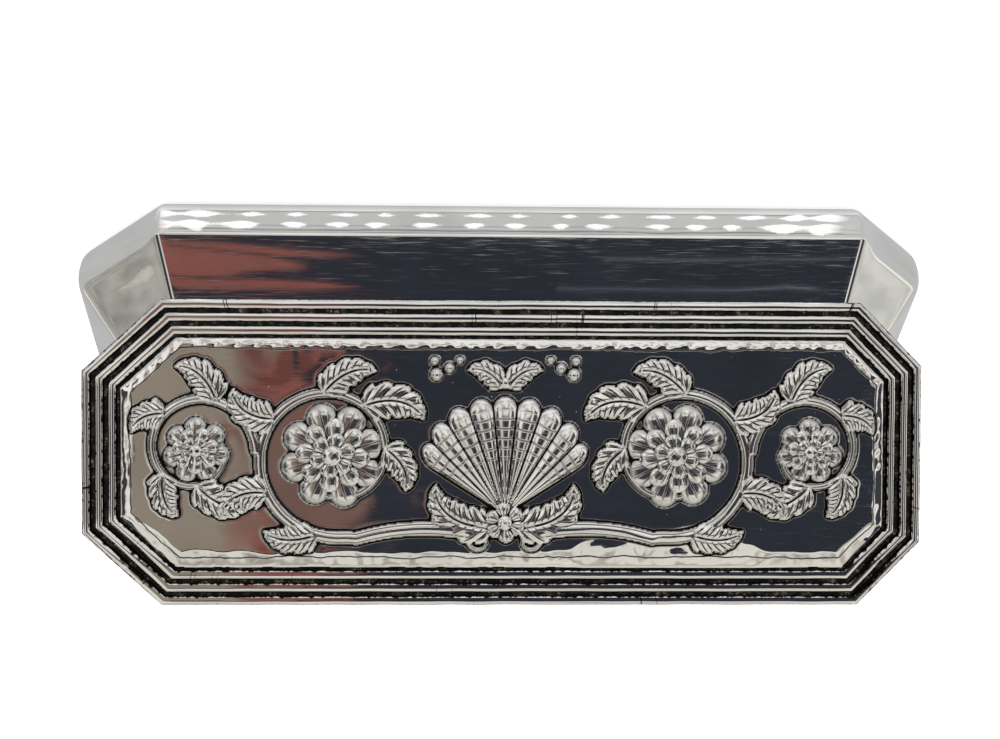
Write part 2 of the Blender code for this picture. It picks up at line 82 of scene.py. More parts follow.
# The cut corners and the ends are softer: rounding of their bend and belly, and of the seams beside the ends,
# with how far below the mouth and beyond the long sides this is reached
SOFT_BEND = 0.0065
SOFT_BELLY = 0.007
SOFT_SEAM = 0.004
SOFT_DEPTH = 0.007
SOFT_REACH = 0.003
FLANGE_OUT = -0.0003
WALL = 0.001
SEAM = 0.0012
INNER_SEAM = SEAM * 0.2
GAP = 0.0003

# Hinge line and notch in the back wall
PIN = Vector((0, 0.021, 0.0187))
NOTCH_HALF = 0.0353
NOTCH_BOTTOM = 0.0169

# Heights in the lid, measured with the lid shut
LID_UNDERSIDE = 0.02075
BORDER_BOTTOM = 0.02185
PANEL_OUT = -0.0058
PANEL_EDGE = 0.0002

# Lining: heights of the floor pad, and thickness of the lid's pad and of the card along the wall
PAD_BOTTOM = 0.0013
PAD_TOP = 0.0038
LID_PAD = 0.0012
CARD = 0.0008

REST_OPENING = math.radians(54)
MM = 0.001

# The wires are worn flatter from this far out in front and at the back, and fully so a little further
WORN_FROM = 0.0155
WORN_FADE = 0.002

# Height of the grains on a seed head, as a share of its rise, and the layers that the panel carries to its silver
SEED_GRAIN = 0.12
PANEL_LAYERS = ("rise", "cavity", "phase", "line", "inside")

# Settings of a Mix node for colours, whose inputs are 0, 6 and 7, and its output
COLOUR_MIX = {"data_type": "RGBA", "output": 2}

# The photo's camera: focal length and picture width in pixels, sensor in millimetres, angles in degrees, and the
# centre that it looks at, with how far away, aside and above it stands
FOCAL_PIXELS = 1663.07
PHOTO_PIXELS = 1000
SENSOR = 36
VIEW_TILT, VIEW_SWING, VIEW_ROLL = 55.956, -2.093, -3.34
VIEW_CENTRE = Vector((0, 0, 0.0226))
VIEW_AWAY, VIEW_ASIDE, VIEW_ABOVE = 0.275312, -0.000109, 0.006864


def clip(values):
    """A value, or an array of them, limited to between 0 and 1."""
    return np.clip(values, 0, 1)


def linear(hex_colour):
    """The linear colour of an sRGB hex value."""
    shares = [int(hex_colour[place:place + 2], 16) / 255 for place in (1, 3, 5)]
    return tuple(share / 12.92 if share <= 0.04045 else ((share + 0.055) / 1.055) ** 2.4 for share in shares)


class SilverBoxSizes(bpy.types.PropertyGroup):
    reed_width: FloatProperty(
        name="Reed width", description="Width of each half-round border wire",
        default=0.00145, unit="LENGTH", subtype="DISTANCE")
    reed_height: FloatProperty(
        name="Reed height", description="Height of each border wire above the lid plate",
        default=0.00075, unit="LENGTH", subtype="DISTANCE")
    reed_pitch: FloatProperty(
        name="Reed pitch", description="Distance from one border wire to the next",
        default=0.002, unit="LENGTH", subtype="DISTANCE")
    ground_rise: FloatProperty(
        name="Ground rise", description="Height of the panel's plain ground above the border's bed",
        default=0.0009, unit="LENGTH", subtype="DISTANCE")
    relief_rise: FloatProperty(
        name="Relief rise", description="Height of the boldest leaves above the ground",
        default=0.0011, unit="LENGTH", subtype="DISTANCE")
    shoulder: FloatProperty(
        name="Shoulder", description="Width of the rolled edge round the panel",
        default=0.0016, unit="LENGTH", subtype="DISTANCE")
    ground_ripple: FloatProperty(
        name="Ground ripple", description="Unevenness left in the ground by the work at the back of the sheet",
        default=0.00002, unit="LENGTH", subtype="DISTANCE")
    panel_columns: IntProperty(
        name="Panel columns", description="Divisions along the embossed panel", default=550)
    panel_rows: IntProperty(
        name="Panel rows", description="Divisions across the embossed panel", default=166)


class SilverBoxColours(bpy.types.PropertyGroup):
    silver: FloatVectorProperty(
        name="Silver", description="Clean sterling silver", subtype="COLOR", default=linear("#F6F4F0"))
    oxide: FloatVectorProperty(
        name="Oxide", description="Black tarnish in the recesses", subtype="COLOR", default=linear("#1D1713"))
    velvet: FloatVectorProperty(
        name="Velvet", description="Pile of the floor pad and wall lining", subtype="COLOR",
        default=linear("#1F2A52"))
    silk: FloatVectorProperty(
        name="Silk", description="Satin under the lid", subtype="COLOR", default=linear("#CFC7B8"))
    navy: FloatVectorProperty(
        name="Navy card", description="Dark card that the wall and the ground mirror", subtype="COLOR",
        default=linear("#2B2F38"))
    russet: FloatVectorProperty(
        name="Russet card", description="Red-brown part of the mirrored card", subtype="COLOR",
        default=linear("#85534D"))


# Outlines and sections

def lid_corners():
    """The eight corners of the lid's edge, anticlockwise from the front right."""
    half_length, half_width = LID_LENGTH / 2, LID_WIDTH / 2
    right, right_side = half_length - RIGHT_CUT[0], half_width - RIGHT_CUT[1]
    left, left_side = half_length - LEFT_CUT[0], half_width - LEFT_CUT[1]
    corners = [(right, -half_width), (half_length, -right_side), (half_length, right_side), (right, half_width),
               (-left, half_width), (-half_length, left_side), (-half_length, -left_side), (-left, -half_width)]
    return [Vector(corner) for corner in corners]


def outline(out, pitch=0.0, seam=0.0, end_seam=None, seam_steps=5):
    """The eight-sided outline moved outward, with rounded corners, and its sides divided about every pitch."""
    corners = lid_corners()
    ends = []
    for place, corner in enumerate(corners):
        before = (corner - corners[place - 1]).normalized()
        after = (corners[(place + 1) % len(corners)] - corner).normalized()
        first = Vector((before.y, -before.x))
        last = Vector((after.y, -after.x))
        mitre = (first + last) / (1 + first.dot(last))
        if not seam:
            ends.append([corner + mitre * out])
            continue
        radius = seam if end_seam is None or place in (0, 3, 4, 7) else end_seam
        centre = corner + mitre * (out - radius)
        turn = first.angle_signed(last)
        arc = []
        for step in range(seam_steps + 1):
            spoke = first.copy()
            spoke.rotate(Matrix.Rotation(-turn * step / seam_steps, 2))
            arc.append(centre + spoke * radius)
        ends.append(arc)
    points = []
    for place, arc in enumerate(ends):
        points += arc
        following = ends[(place + 1) % len(ends)][0]
        side = (corners[(place + 1) % len(corners)] - corners[place]).length
        count = max(1, round(side / pitch)) if pitch else 1
        points += [arc[-1].lerp(following, step / count) for step in range(1, count)]
    return points


def filleted(corners, steps=9):
    """A path through (out, height, radius) corners, with an arc at each corner that has a radius."""
    places = [Vector(corner[:2]) for corner in corners]
    path = [places[0]]
    for place in range(1, len(corners) - 1):
        here = places[place]
        before = (here - places[place - 1]).normalized()
        after = (places[place + 1] - here).normalized()
        turn = before.angle_signed(after)
        radius = corners[place][2]
        start = here - before * radius * math.tan(abs(turn) / 2)
        side = Vector((before.y, -before.x)) * math.copysign(radius, turn)
        for step in range(steps + 1):
            spoke = -side
            spoke.rotate(Matrix.Rotation(-turn * step / steps, 2))
            path.append(start + side + spoke)
    path.append(places[-1])
    return path


def offset(path, depth):
    """The path moved towards the inside of the box, keeping its mitres."""
    normals = []
    for here, there in zip(path, path[1:]):
        along = (there - here).normalized()
        normals.append(Vector((along.y, -along.x)))
    pairs = zip([normals[0]] + normals, normals + [normals[-1]])
    return [point + (first + last) / (1 + first.dot(last)) * depth for point, (first, last) in zip(path, pairs)]


def between(path, low, high):
    """The stretch of a falling path between two heights, cut where it crosses them."""
    kept = []
    for here, there in zip(path, path[1:]):
        fall = here.y - there.y
        if fall <= 0 or there.y >= high or here.y <= low:
            continue
        if not kept:
            kept.append(here.lerp(there, max(here.y - high, 0) / fall))
        kept.append(here.lerp(there, min((here.y - low) / fall, 1)))
    return kept


def wall_path(bend_radius=BEND[2], belly_radius=BELLY[2]):
    """The outer face of the wall, from above the mouth to the inner edge of the foot's flange."""
    mouth, bend = Vector((MOUTH_OUT, MOUTH_HEIGHT)), Vector(BEND[:2])
    above = mouth + (mouth - bend) * 0.3
    return filleted([(above.x, above.y, 0), (*BEND[:2], bend_radius), (*BELLY[:2], belly_radius), FOOT,
                     (FLANGE_OUT, 0, 0)])


def with_seam(path, depth):
    seam = max(SEAM - depth, INNER_SEAM)
    return [(point.x, point.y, seam) for point in path]


def with_soft_seam(path):
    """Section points whose end seams grow rounder below the mouth."""
    shares = [clip((MOUTH_HEIGHT - point.y) / SOFT_DEPTH) for point in path]
    return [(point.x, point.y, SEAM, SEAM + (SOFT_SEAM - SEAM) * share) for point, share in zip(path, shares)]


def end_shares(pitch):
    """How far each point of the outline belongs to the cut corners and the ends, from 0 to 1."""
    shares = []
    for point in outline(0, pitch, SEAM):
        cut = RIGHT_CUT if point.x > 0 else LEFT_CUT
        share = clip((abs(point.x) - LID_LENGTH / 2 + cut[0]) / SOFT_REACH)
        shares.append(share ** 2 * (3 - 2 * share))
    return shares


# Modelling

def ring_of(pitch, out, height, *seams):
    return [point.to_3d() + Vector((0, 0, height)) for point in outline(out, pitch, *seams)]


def swept(section, pitch=0.0, capped=False, soft=None):
    """Carry a section of (out, height, seam radius) points round the eight sides, with a soft one for the ends."""
    work = bmesh.new()
    order = work.verts.layers.int.new("order")
    rings = [ring_of(pitch, *entry) for entry in section]
    if soft:
        shares = end_shares(pitch)
        rings = [[here.lerp(there, share) for here, there, share in zip(ring, ring_of(pitch, *entry), shares)]
                 for ring, entry in zip(rings, soft)]
    ring = []
    for place, point in enumerate(rings[0]):
        vert = work.verts.new(point)
        vert[order] = place
        ring.append(vert)
    first = [work.edges.new(pair) for pair in zip(ring, ring[1:] + ring[:1])]
    edges = first
    for points in rings[1:]:
        grown = bmesh.ops.extrude_edge_only(work, edges=edges)["geom"]
        edges = [part for part in grown if isinstance(part, bmesh.types.BMEdge)]
        for vert in [part for part in grown if isinstance(part, bmesh.types.BMVert)]:
            vert.co = points[vert[order]]
    if capped:
        bmesh.ops.edgeloop_fill(work, edges=first)
        bmesh.ops.edgeloop_fill(work, edges=edges)
    else:
        bmesh.ops.bridge_loops(work, edges=first + edges)
    bmesh.ops.recalc_face_normals(work, faces=work.faces)
    return work


def wander(work, size, amount, seed, moves=(1, 1, 1)):
    """Shift the points by a smooth wandering amount, as hand work does."""
    # without a fixed seed the drift would be another one at every run
    noise.seed_set(1)
    push = Vector(moves) * amount
    for vert in work.verts:
        drift = noise.noise_vector(vert.co / size + Vector((seed, seed, seed)))
        vert.co += Vector((drift.x * push.x, drift.y * push.y, drift.z * push.z))


def open_lid(work):
    """Turn a piece that was modelled with the lid shut to where the lid stands."""
    bmesh.ops.rotate(work, cent=PIN, matrix=Matrix.Rotation(-REST_OPENING, 3, "X"), verts=work.verts)


def wire(sizes, place, steps=24):
    """One half-round wire of the border, worn flatter in front and behind, with each point's height and way round."""
    half = sizes.reed_width / 2
    middle = place * sizes.reed_pitch + half
    section = []
    for step in range(steps + 1):
        angle = math.pi * step / steps
        section.append((half * math.cos(angle) - middle, BORDER_BOTTOM + sizes.reed_height * math.sin(angle), 0))
    work = swept(section, pitch=0.0016)
    order = work.verts.layers.int["order"]
    count = 1 + max(vert[order] for vert in work.verts)
    rise, lap = work.verts.layers.float.new("rise"), work.verts.layers.float_vector.new("lap")
    for vert in work.verts:
        share = (vert.co.z - BORDER_BOTTOM) / sizes.reed_height
        across = (middle + PANEL_OUT - edge_distance(vert.co.x, vert.co.y)) / half
        front, back = (clip((side - WORN_FROM) / WORN_FADE) for side in (-vert.co.y, vert.co.y))
        share = max(share, 0) ** (1 - 0.6 * front * max(-across, 0))
        worn = 1 - (0.18 + 0.16 * max(across - 0.2, 0)) * front - 0.07 * back
        share = min(share, worn + (0.15 - 0.07 * front) * (share - worn))
        vert.co.z = BORDER_BOTTOM + sizes.reed_height * share
        # painted dark reflection: the flank of the front wires that faces the panel reads lower, so that the oxide
        # colour covers more of it
        vert[rise] = share - 0.5 * front * max(-across, 0)
        turn = 2 * math.pi * vert[order] / count
        vert[lap] = (10 * math.cos(turn), 10 * math.sin(turn), 7 * place)
    return work


def new_object(name, work, material=None):
    mesh = bpy.data.meshes.new(name)
    work.to_mesh(mesh)
    work.free()
    item = bpy.data.objects.new(name, mesh)
    bpy.context.scene.collection.objects.link(item)
    if material:
        mesh.materials.append(material)
    return item


def add_piece(name, work, body, material, nodes, sharp=30):
    """Make an object of the finished mesh, which rides on its body and stands for its nodes."""
    piece = new_object(name, work, material)
    piece.data.shade_smooth()
    piece.data.set_sharp_from_angle(angle=math.radians(sharp))
    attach(piece, body)
    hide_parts(*nodes)
    return piece


# Embossed panel, in millimetres on the lid: x to the right and y towards the hinge

class Field:
    """Height of the embossing over a regular grid of points, with the chased lines that follow each leaf."""

    def __init__(self, half_length, half_width, columns, rows):
        self.x = np.linspace(-half_length, half_length, columns + 1)
        self.y = np.linspace(-half_width, half_width, rows + 1)
        self.height, self.phase, self.line = np.zeros((3, columns + 1, rows + 1))

    def window(self, low, high):
        """The part of the grid between two corners, and where its points lie."""
        place = tuple(slice(*np.searchsorted(ticks, ends)) for ticks, ends in zip((self.x, self.y), zip(low, high)))
        return place, *np.meshgrid(self.x[place[0]], self.y[place[1]], indexing="ij")

    def around(self, centre, radius):
        """The part of the grid round a centre, with its points measured from there."""
        place, x, y = self.window(np.array(centre) - radius, np.array(centre) + radius)
        return place, x - centre[0], y - centre[1]

    def lay(self, place, inside, height, phase=0, line=0):
        """Put a motif on top of what is there."""
        over = inside & (height > self.height[place])
        for grid, values in ((self.height, height), (self.phase, phase), (self.line, line)):
            grid[place] = np.where(over, values, grid[place])


def beside(field, spine, reach):
    """Distance to a spine and the length along it, for the points within reach, and the spine's whole length."""
    spine = np.array(spine, float)
    place, x, y = field.window(spine.min(0) - reach, spine.max(0) + reach)
    start, step = spine[:-1], np.diff(spine, axis=0)
    length = np.hypot(*step.T)
    passed = np.concatenate([[0], np.cumsum(length)[:-1]])
    away = np.stack([x, y], -1)[:, :, None] - start
    share = clip((away * step).sum(-1) / length ** 2)
    left = away - share[..., None] * step
    distance = np.hypot(left[..., 0], left[..., 1])
    nearest = distance.argmin(-1)[..., None]
    picked = [np.take_along_axis(values, nearest, -1)[..., 0] for values in (distance, passed + share * length)]
    return place, *picked, length.sum()


def leaf(field, spine, width, rise, lobes=4, level=0.0):
    """An acanthus leaf: tongues that lean forward from a sunk midrib, each with its own vein."""
    place, distance, along, total = beside(field, spine, width * 1.3)
    share = clip(along / total)
    swell = clip(1.25 * np.sin(np.pi * share ** 0.72)) ** 0.75 * (1 - 0.25 * share) + 0.12 * (1 - share)
    turn = (along - 0.9 * distance) * (lobes + 0.4) / total
    tongue = np.abs(np.sin(np.pi * turn))
    across = distance / np.maximum(width * swell * (0.76 + 0.24 * tongue ** 0.6), 1e-3)
    crown = clip(1 - across ** 2.6) ** 0.5
    fold = 1 - 0.34 * (1 - tongue ** 0.8) * clip(across * 2.2 - 0.3)
    midrib = np.exp(-((distance / 0.34) ** 2)) * clip(6 * (1 - share))
    height = rise * (0.30 + 0.70 * crown * fold * (0.72 + 0.28 * share)) - 0.34 * rise * midrib
    line = clip((distance - 0.3) * 3) * clip(5 - 5.4 * across) * clip(5 * (1 - share))
    field.lay(place, across < 1, height + level, turn * 2, line)


def stem(field, spine, width, rise, taper=0.5, level=0.0):
    """A round stalk with a line chased along each side of it."""
    place, distance, along, total = beside(field, spine, width * 1.1)
    slim = 1 - taper * along / total
    across = distance / (width * slim)
    height = rise * slim * (0.2 + 0.8 * np.sqrt(clip(1 - across ** 2)))
    field.lay(place, across < 1, height + level, across / 0.62, np.clip(across * 3 - 0.8, 0, 0.8))


def petals(field, centre, radius, rise, count, turn=0.0, level=0.0, hollow=0.35):
    """A ring of petals, each cupped and veined from its foot."""
    place, x, y = field.around(centre, radius)
    reach, angle = np.hypot(x, y) / radius, np.arctan2(y, x) + turn
    beat = np.abs(np.cos(count * angle / 2))
    across = reach / (0.74 + 0.26 * beat ** 0.6)
    rim = clip(1 - across ** 5) ** 0.5
    height = rise * rim * (1 - hollow + hollow * clip(reach / 0.8) ** 2) * (0.45 + 0.55 * beat ** 0.45)
    line = clip(reach * 5 - 1) * clip(3.4 - across * 3.6)
    field.lay(place, across < 1, height + level, angle * count * 4 / (2 * np.pi), line)


def bead(field, centre, radius, rise, level=0.0, grain=0.0):
    """A dome, smooth or with rows of seeds 0.75 mm apart."""
    place, x, y = field.around(centre, radius)
    dome = clip(1 - (x ** 2 + y ** 2) / radius ** 2)
    seeds = np.cos(x * 2 * np.pi / 0.75) * np.cos(y * 2 * np.pi / 0.75)
    field.lay(place, dome > 0, rise * (np.sqrt(dome) + grain * seeds) + level)


def blossom(field, centre, radius, rise, count, turn=0.0):
    """A full-blown flower of three rings of petals round a seeded middle."""
    petals(field, centre, radius, rise * 0.75, count, turn, 0.02, 0.3)
    petals(field, centre, radius * 0.70, rise * 0.7, count, turn + math.pi / count, rise * 0.30)
    petals(field, centre, radius * 0.44, rise * 0.6, count - 2, turn, rise * 0.55)
    bead(field, centre, radius * 0.2, rise * 0.5, rise * 0.75, SEED_GRAIN)


def shell(field, base, radius, rise, lobes, spread):
    """A scallop: rounded flutes that widen from its hinge, with growth lines across them."""
    place, x, y = field.around(base, radius)
    reach, angle = np.hypot(x, y) / radius, np.arctan2(x, y) / spread
    beat = np.abs(np.cos(np.pi * lobes * angle / 2))
    across = reach / ((0.90 + 0.10 * beat ** 0.6) * (1 - 0.16 * np.abs(angle) ** 3))
    rim = clip(1 - across ** 9) ** 0.5
    arch = 0.45 + 0.55 * np.sin(np.pi * clip(reach) ** 0.8 * 0.62)
    height = rise * rim * arch * (0.50 + 0.50 * beat ** 0.55) * clip(12 * (1 - np.abs(angle))) ** 0.5
    line = 0.55 * clip(reach * 4 - 1.6) * clip(7 - across * 7.4)
    field.lay(place, (across < 1) & (np.abs(angle) < 1), height + 0.05, reach * radius / 1.5 + 0.12 * beat, line)


def curve(start, heading, length, bend, curl=0.0, steps=22):
    """A spine that leaves a point at a heading in degrees and bends, tighter towards its end with curl."""
    points = [start]
    turn = math.radians(heading)
    for step in range(steps):
        turn += math.radians(bend) * (1 + curl * (step / steps - 0.5) * 2) / steps
        x, y = points[-1]
        points.append((x + math.cos(turn) * length / steps, y + math.sin(turn) * length / steps))
    return points


def spiral_point(share, centre, outer, inner, start, sweep):
    angle, reach = math.radians(start + sweep * share), outer + (inner - outer) * share
    return centre[0] + reach * math.cos(angle), centre[1] + reach * math.sin(angle)


def spiral(*course, steps=60):
    """A spine that winds in towards a centre. Angles are in degrees."""
    return [spiral_point(step / steps, *course) for step in range(steps + 1)]


def mirrored(points, side):
    return [(x * side, y) for x, y in points]


def scrolls(field, rise, side):
    """The two scrolls of one half, with their blossoms and leaves, and the beads beside the top leaves."""
    big = ((26.5, -0.3), 13.0, 6.0, -106, 400)
    small = ((47.4, 0.4), 9.2, 3.6, 180, -400)
    stem(field, mirrored(curve((5.0, -12.3), 12, 18.0, -28) + spiral(*big)[1:], side), 1.2, rise * 0.85)
    stem(field, mirrored(spiral(*small), side), 0.95, rise * 0.75)
    # where each leaf leaves its scroll, its length, bend, heading and half width
    for course, height, level, leaves in (
            (big, 1, 0.12, ((-78, 8.4, 60, -20, 2.4), (-30, 8.6, -95, 10, 2.6), (32, 8.8, 92, 0, 2.6),
                            (82, 9.4, 74, 128, 2.5), (122, 10.6, 88, 158, 2.9), (172, 8.0, 78, 214, 2.4))),
            (small, 0.95, 0.1, ((112, 9.0, -80, 72, 2.6), (50, 6.4, -84, 4, 2.3), (-36, 7.4, -70, -82, 2.3),
                                (-92, 9.4, -74, -132, 2.6)))):
        for angle, length, bend, heading, width in leaves:
            start = spiral_point((angle - course[3]) / course[4], *course)
            leaf(field, mirrored(curve(start, heading, length, bend, 0.6), side), width, rise * height, 4, level)
    blossom(field, *mirrored([big[0]], side), 8.2, rise * 1.05, 8, 0.3 * side)
    blossom(field, *mirrored([small[0]], side), 5.2, rise * 0.9, 7, 0.2)
    for x, y, radius in ((10.6, 12.2, 1.0), (8.6, 13.2, 0.8), (10.9, 14.3, 0.7), (7.0, 14.4, 0.6)):
        bead(field, (x * side, y), radius, rise * 0.6)


def crest(field, rise):
    """The scallop at the middle of the panel, between two curling leaves."""
    for side in (1, -1):
        leaf(field, mirrored(curve((2.0, -11.4), 2, 12.5, 100, 0.8), side), 3.0, rise, 5, 0.05)
        stem(field, mirrored(spiral((3.8, -13.4), 2.6, 0.4, 150, -440), side), 0.7, rise * 0.7, 0.6, 0.1)
    shell(field, (0, -9.4), 18.4, rise * 1.15, 9, math.radians(58))
    petals(field, (0, -10.6), 3.2, rise, 6, 0.4, 0.35)
    bead(field, (0, -10.6), 1.1, rise * 0.6, rise * 0.9, SEED_GRAIN)
    for side in (1, -1):
        leaf(field, mirrored(curve((0.4, 10.2), 60, 6.6, -80, 0.5), side), 1.9, rise * 0.9, 3, 0.1)
    bead(field, (0, 11.0), 1.1, rise * 0.8, 0.1)


def blurred(height):
    """The height smoothed over its neighbours, by three passes of a running mean of three."""
    for _ in range(3):
        for axis in (0, 1):
            padded = np.pad(height, [(2, 1) if place == axis else (0, 0) for place in (0, 1)], "edge")
            total = np.cumsum(padded, axis)
            count = total.shape[axis]
            height = (np.take(total, range(3, count), axis) - np.take(total, range(count - 3), axis)) / 3
    return height


def ripple(x, y, size, seed, count=9):
    """A smooth uneven surface between about -1 and 1, made of crossing waves."""
    draw = np.random.default_rng(seed)
    total = 0
    for _ in range(count):
        turn = draw.uniform(0, 2 * np.pi)
        wave = 2 * np.pi / (size * draw.uniform(0.7, 1.6))
        total = total + np.sin((x * np.cos(turn) + y * np.sin(turn)) * wave + draw.uniform(0, 2 * np.pi))
    return total / count ** 0.5 / 1.5


def edge_distance(x, y):
    """How far a point of the panel lies inside its eight sides, in metres."""
    corners = lid_corners()
    nearest = np.full(np.shape(x), 1.0)
    for here, there in zip(corners, corners[1:] + corners[:1]):
        along = (there - here).normalized()
        nearest = np.minimum(nearest, (here.x - x) * along.y - (here.y - y) * along.x)
    return nearest + PANEL_OUT


def panel_height(sizes, px, py, inside):
    """Height of the panel's rolled edge and uneven ground above the border's bed, from millimetres."""
    # a dented stretch at the front right, where the rolled edge spreads over the ground
    dent = np.exp(-((px - 26) / 15) ** 4) * (0.8 + 0.5 * ripple(px, py, 7, 31))
    front = clip((-py - 10.5 + 4.5 * dent) / 3)
    corner = clip((np.abs(px) - 50) / 4) * (1 - front)
    wavy = 0.10 * ripple(px, py, 4.5, 11) + 0.20 * front * ripple(px, py, 8, 21)
    turn = clip(inside / sizes.shoulder / (0.9 + wavy + 0.6 * front + 0.25 * corner + 1.9 * dent * front))
    round_off = np.sqrt(clip(1 - (1 - turn) ** 2))
    ground = PANEL_EDGE + (sizes.ground_rise - PANEL_EDGE) * (round_off + 0.75 * front * (turn - round_off))
    ground += (0.00008 - 0.00006 * front) * ripple(px, py, 2.2, 17) * clip(6 * turn * (1 - turn))
    uneven = ripple(px, py, 9, 3) + 7 * ripple(px, py, 6, 5) * np.exp(-((px - 27) / 17) ** 2 - ((py + 12.5) / 4) ** 2)
    return ground + uneven * sizes.ground_ripple * clip(turn * 1.5 - 0.5)


def panel_mesh(sizes):
    """The embossed panel, with the heights and lines that its finish reads on its points."""
    corners = lid_corners()
    half_length, half_width = PANEL_OUT - corners[5].x, LID_WIDTH / 2 + PANEL_OUT
    field = Field(half_length / MM, half_width / MM, sizes.panel_columns, sizes.panel_rows)
    rise = sizes.relief_rise / MM
    for side in (1, -1):
        scrolls(field, rise, side)
    crest(field, rise)
    x, y = np.meshgrid(field.x, field.y, indexing="ij")
    clear = clip((edge_distance(x * MM, y * MM) / MM - 1.3) / 0.8)
    relief = field.height * clear
    relief = 0.85 * relief + 0.15 * blurred(relief)
    work = bmesh.new()
    bmesh.ops.create_grid(work, x_segments=sizes.panel_columns, y_segments=sizes.panel_rows, size=1)
    bmesh.ops.scale(work, vec=(half_length, half_width, 1), verts=work.verts)
    for here, there in zip(corners[::2], corners[1::2]):
        along = (there - here).normalized()
        normal = Vector((along.y, -along.x, 0))
        bmesh.ops.bisect_plane(work, geom=work.verts[:] + work.edges[:] + work.faces[:],
                               plane_co=here.to_3d() + normal * PANEL_OUT, plane_no=normal, clear_outer=True)
    px, py = np.array([vert.co.xy for vert in work.verts]).T / MM
    spots = [(values - ticks[0]) / (ticks[1] - ticks[0]) for values, ticks in ((px, field.x), (py, field.y))]
    low, near = (np.array([np.clip(part, 0, count - last).astype(int) for part, count in zip(parts, clear.shape)])
                 for parts, last in ((spots, 2), (np.rint(spots), 1)))
    i, j = low
    u, v = clip(np.array(spots) - low)

    def sample(values):
        return ((values[i, j] * (1 - u) + values[i + 1, j] * u) * (1 - v)
                + (values[i, j + 1] * (1 - u) + values[i + 1, j + 1] * u) * v)

    inside = np.clip(edge_distance(px * MM, py * MM), 0, None)
    height = panel_height(sizes, px, py, inside) + sample(relief) * MM
    values = (sample(relief), sample(blurred(relief) - relief), field.phase[*near], (field.line * clear)[*near],
              inside / MM)
    layers = [work.verts.layers.float.new(name) for name in PANEL_LAYERS]
    for vert, up, *marks in zip(work.verts, height.tolist(), *(item.tolist() for item in values)):
        vert.co.z = BORDER_BOTTOM + up
        for layer, mark in zip(layers, marks):
            vert[layer] = mark
    grown = bmesh.ops.extrude_edge_only(work, edges=[item for item in work.edges if item.is_boundary])["geom"]
    for vert in [part for part in grown if isinstance(part, bmesh.types.BMVert)]:
        vert.co.z = BORDER_BOTTOM
    bmesh.ops.edgeloop_fill(work, edges=[part for part in grown if isinstance(part, bmesh.types.BMEdge)])
    bmesh.ops.recalc_face_normals(work, faces=work.faces)
    return work


# Materials

def feed(owner, name, values):
    """Give inputs of a material's or the world's node their values, or link the sockets that feed them."""
    for key, value in values.items():
        socket = owner.node_tree.nodes[name].inputs[key]
        if isinstance(value, bpy.types.NodeSocket):
            owner.node_tree.links.new(value, socket)
        else:
            socket.default_value = (*value, 1) if socket.type == "RGBA" else value
    return owner


def add_node(owner, kind, *values, inputs=None, output=0, **named):
    """Add a node and return an output. Capitalised names are inputs, as the values are, and others are settings."""
    node = owner.node_tree.nodes.new("ShaderNode" + kind)
    feeds = {**dict(enumerate(values)), **(inputs or {})}
    for name, value in named.items():
        if name[0].isupper():
            feeds[name] = value
        else:
            setattr(node, name, value)
    feed(owner, node.name, feeds)
    return node.outputs if output is None else node.outputs[output]


def new_material(name):
    """A new material, and the function that adds its nodes."""
    material = bpy.data.materials.new(name)
    material.use_nodes = True
    return material, partial(add_node, material)


def apart(add, value, other):
    """How far a value lies from another."""
    return add("Math", add("Math", value, other, operation="SUBTRACT"), operation="ABSOLUTE")


def wear(add, colours, turned, faded):
    """Fine polishing scratches and soft clouds of handling, which every polished surface here shares."""
    place = add("TexCoord", output="Object")
    along = add("Mapping", place, Rotation=(turned, 0, 0))
    # 0.3 mm across and about 17 mm long, coarser than a real polishing scratch so that it shows
    scratches = add("TexNoise", add("Mapping", along, Scale=(60, 3200, 3200)), Scale=1, Detail=3)
    # faint hairlines, 0.15 mm across and about 5 mm long
    hairs = add("TexNoise", add("Mapping", along, Scale=(200, 6500, 6500)), Scale=1, Detail=1)
    # clouds about 10 mm across
    clouds = add("TexNoise", place, Scale=90, Detail=3)
    colour = add("Mix", add("MapRange", clouds, 0.35, 0.75), **COLOUR_MIX,
                 inputs={6: colours.silver, 7: np.multiply(colours.silver, faded)})
    return place, colour, scratches, add("MapRange", hairs, 0.56, 0.78, 0, 0.11)


def polished_silver(name, colours, turned=0.0, rough=(0.03, 0.08), oxide_and_painted_reflection=None, depth=0.0000012):
    """Sterling silver, raised and polished: a near-white mirror with fine scratches along its length."""
    material, add = new_material(name)
    colour, scratches, hairs = wear(add, colours, turned, 0.86)[1:]
    if oxide_and_painted_reflection:
        colour = oxide_and_painted_reflection(add, colours, colour)
    polish = add("MapRange", scratches, 0.3, 0.75, *rough)
    return feed(material, "Principled BSDF", {
        "Base Color": colour, "Metallic": 1, "Roughness": add("Math", polish, hairs, operation="ADD"),
        "Normal": add("Bump", Height=scratches, Distance=depth, Strength=0.5)})


